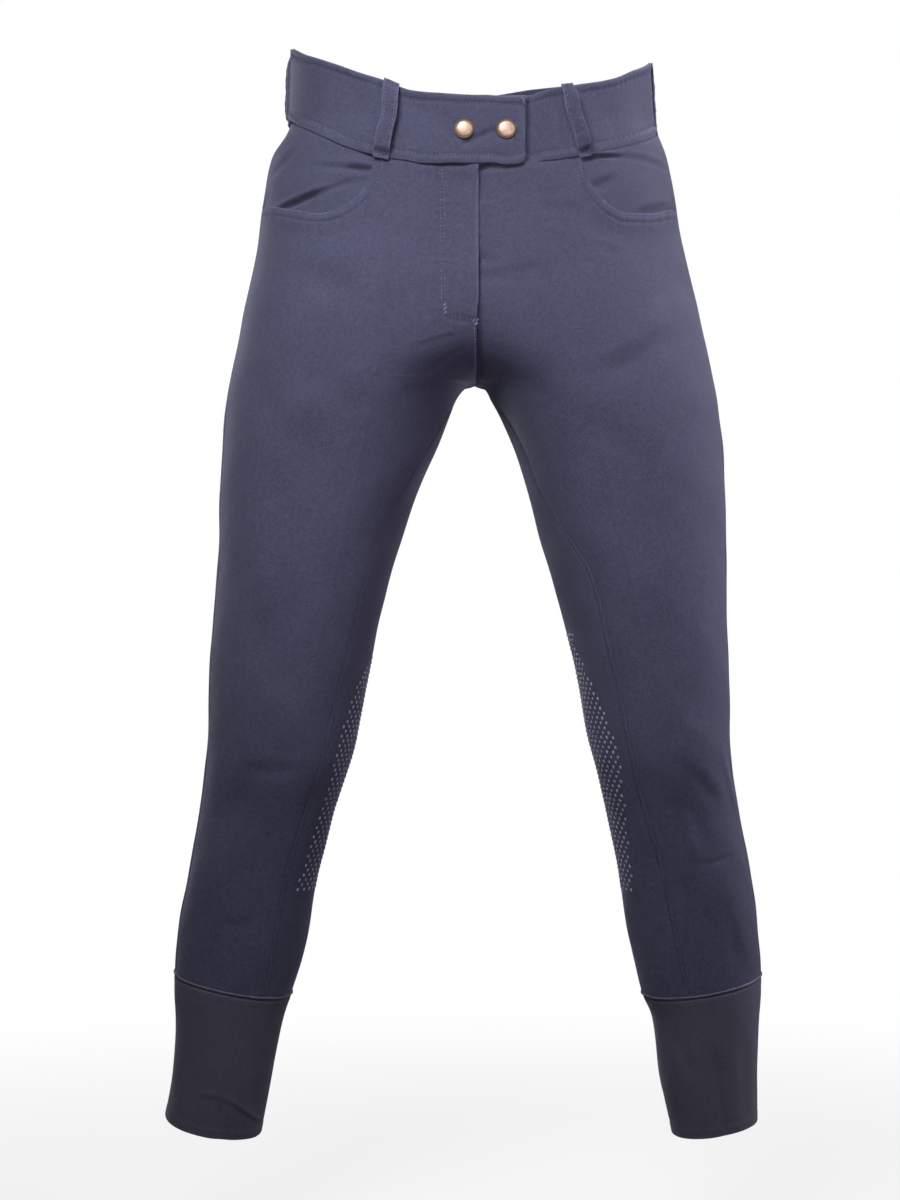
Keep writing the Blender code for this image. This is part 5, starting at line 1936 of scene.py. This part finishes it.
def floor_material():
    """Pale floor that fades out into the pale room."""
    material, tree, shader, place = new_material("Pale floor")
    feed(tree, shader, {"Base Color": (0.8, 0.8, 0.8, 1), "Roughness": 1.0, "Specular IOR Level": 0.0})
    ray = put(tree, "ShaderNodeLightPath")
    glow = put(tree, "ShaderNodeEmission", {"Color": WHITE, "Strength": ray.outputs["Is Camera Ray"]})
    pale = put(tree, "ShaderNodeMixShader", {"Fac": 0.8, 1: shader.outputs[0], 2: glow.outputs[0]})
    away = put(tree, "ShaderNodeVectorMath", {0: place}, operation="LENGTH").outputs["Value"]
    gone = put(tree, "ShaderNodeMapRange",
               {"Value": away, "From Min": FLOOR_FADE[0], "From Max": FLOOR_FADE[1]},
               interpolation_type="SMOOTHSTEP")
    clear = put(tree, "ShaderNodeBsdfTransparent")
    mixed = put(tree, "ShaderNodeMixShader",
                {"Fac": gone.outputs["Result"], 1: pale.outputs[0], 2: clear.outputs[0]})
    feed(tree, tree.nodes["Material Output"], {"Surface": mixed.outputs[0]})
    return material


def add_light(name, power, place, target, size, beam, colour):
    """A square soft light that looks at a target, with the width of its beam in degrees."""
    data = bpy.data.lights.new(name, "AREA")
    data.size, data.energy, data.spread = size, power, math.radians(beam)
    data.color = colour
    lamp = add_object(name, data)
    lamp.location = place
    lamp.rotation_mode = "QUATERNION"
    lamp.rotation_quaternion = (Vector(target) - Vector(place)).to_track_quat("-Z", "Y")


def add_world(context, strength):
    """A white room that looks bright, also in polished metal, and lights the cloth little."""
    world = bpy.data.worlds.new("room")
    world.use_nodes = True
    tree = world.node_tree
    tree.nodes.clear()
    ray = put(tree, "ShaderNodeLightPath")
    mirrored = reckon(tree, "MULTIPLY", ray.outputs["Is Glossy Ray"], 0.32)
    bright = reckon(tree, "MAXIMUM", ray.outputs["Is Camera Ray"], mirrored)
    seen = put(tree, "ShaderNodeBackground", {"Color": WHITE, "Strength": 1.0})
    lit = put(tree, "ShaderNodeBackground", {"Color": (1, 0.93, 1, 1), "Strength": strength})
    mixed = put(tree, "ShaderNodeMixShader",
                {"Fac": bright, 1: lit.outputs[0], 2: seen.outputs[0]})
    out = put(tree, "ShaderNodeOutputWorld", {"Surface": mixed.outputs[0]})
    out.is_active_output = True
    context.scene.world = world


class BREECHES_OT_grip_print(bpy.types.Operator):
    """Print the silicone dots on the inside of both legs"""

    bl_idname = "breeches.grip_print"
    bl_label = "Grip Print"

    def execute(self, context):
        for side in (RIGHT, LEFT):
            make_grip(side)
        return {"FINISHED"}


class BREECHES_OT_fronts(bpy.types.Operator):
    """Make both fronts with the fly and the pocket mouths"""

    bl_idname = "breeches.fronts"
    bl_label = "Fronts"

    def execute(self, context):
        for side in (RIGHT, LEFT):
            make_front(side)
        return {"FINISHED"}


class BREECHES_OT_backs(bpy.types.Operator):
    """Make both backs with the flat inner seams"""

    bl_idname = "breeches.backs"
    bl_label = "Backs"

    def execute(self, context):
        for side in (RIGHT, LEFT):
            make_back(side)
        return {"FINISHED"}


class BREECHES_OT_facings(bpy.types.Operator):
    """Make both pocket facings"""

    bl_idname = "breeches.facings"
    bl_label = "Pocket Facings"

    def execute(self, context):
        for side in (RIGHT, LEFT):
            make_facing(side)
        return {"FINISHED"}


class BREECHES_OT_waistband(bpy.types.Operator):
    """Make the waistband with its snapped tab"""

    bl_idname = "breeches.waistband"
    bl_label = "Waistband"

    def execute(self, context):
        make_waistband()
        return {"FINISHED"}


class BREECHES_OT_cuffs(bpy.types.Operator):
    """Make both stretch cuffs"""

    bl_idname = "breeches.cuffs"
    bl_label = "Cuffs"

    def execute(self, context):
        for side in (RIGHT, LEFT):
            make_cuff(side)
        return {"FINISHED"}


class BREECHES_OT_loops(bpy.types.Operator):
    """Make the five belt loops"""

    bl_idname = "breeches.loops"
    bl_label = "Belt Loops"

    def execute(self, context):
        for name, row in LOOPS.items():
            make_loop(name, **named(LOOP_COLUMNS, row))
        return {"FINISHED"}


class BREECHES_OT_snaps(bpy.types.Operator):
    """Turn the two snap caps"""

    bl_idname = "breeches.snaps"
    bl_label = "Snap Caps"

    def execute(self, context):
        for name, across in SNAP_ACROSS.items():
            make_snap(name, across)
        return {"FINISHED"}


OPERATORS = (BREECHES_OT_studio, BREECHES_OT_grip_print, BREECHES_OT_fronts, BREECHES_OT_backs,
             BREECHES_OT_facings, BREECHES_OT_waistband, BREECHES_OT_cuffs, BREECHES_OT_loops,
             BREECHES_OT_snaps)


class BREECHES_PT_sidebar(bpy.types.Panel):
    """Lists the steps that build the breeches"""

    bl_idname = "BREECHES_PT_sidebar"
    bl_label = "Riding Breeches"
    bl_space_type = "VIEW_3D"
    bl_region_type = "UI"
    bl_category = "Breeches"

    def draw(self, context):
        for settings in (context.scene.breeches_sizes, context.scene.breeches_finish,
                         context.scene.breeches_studio):
            box = self.layout.box()
            for key in settings.__annotations__:
                box.prop(settings, key)
        for operator in OPERATORS:
            self.layout.operator(operator.bl_idname)


SETTINGS = {"breeches_sizes": BreechesSizes, "breeches_finish": BreechesFinish,
            "breeches_studio": BreechesStudio}


def register():
    """Adds the settings, the operators and the panel."""
    for made in (*SETTINGS.values(), *OPERATORS, BREECHES_PT_sidebar):
        bpy.utils.register_class(made)
    for name, group in SETTINGS.items():
        setattr(bpy.types.Scene, name, PointerProperty(type=group))


def unregister():
    """Takes them out again."""
    for name in SETTINGS:
        delattr(bpy.types.Scene, name)
    for made in reversed((*SETTINGS.values(), *OPERATORS, BREECHES_PT_sidebar)):
        bpy.utils.unregister_class(made)


def main():
    """Builds everything."""
    register()
    for operator in OPERATORS:
        space, step = operator.bl_idname.split(".")
        getattr(getattr(bpy.ops, space), step)()


if __name__ == "__main__":
    main()
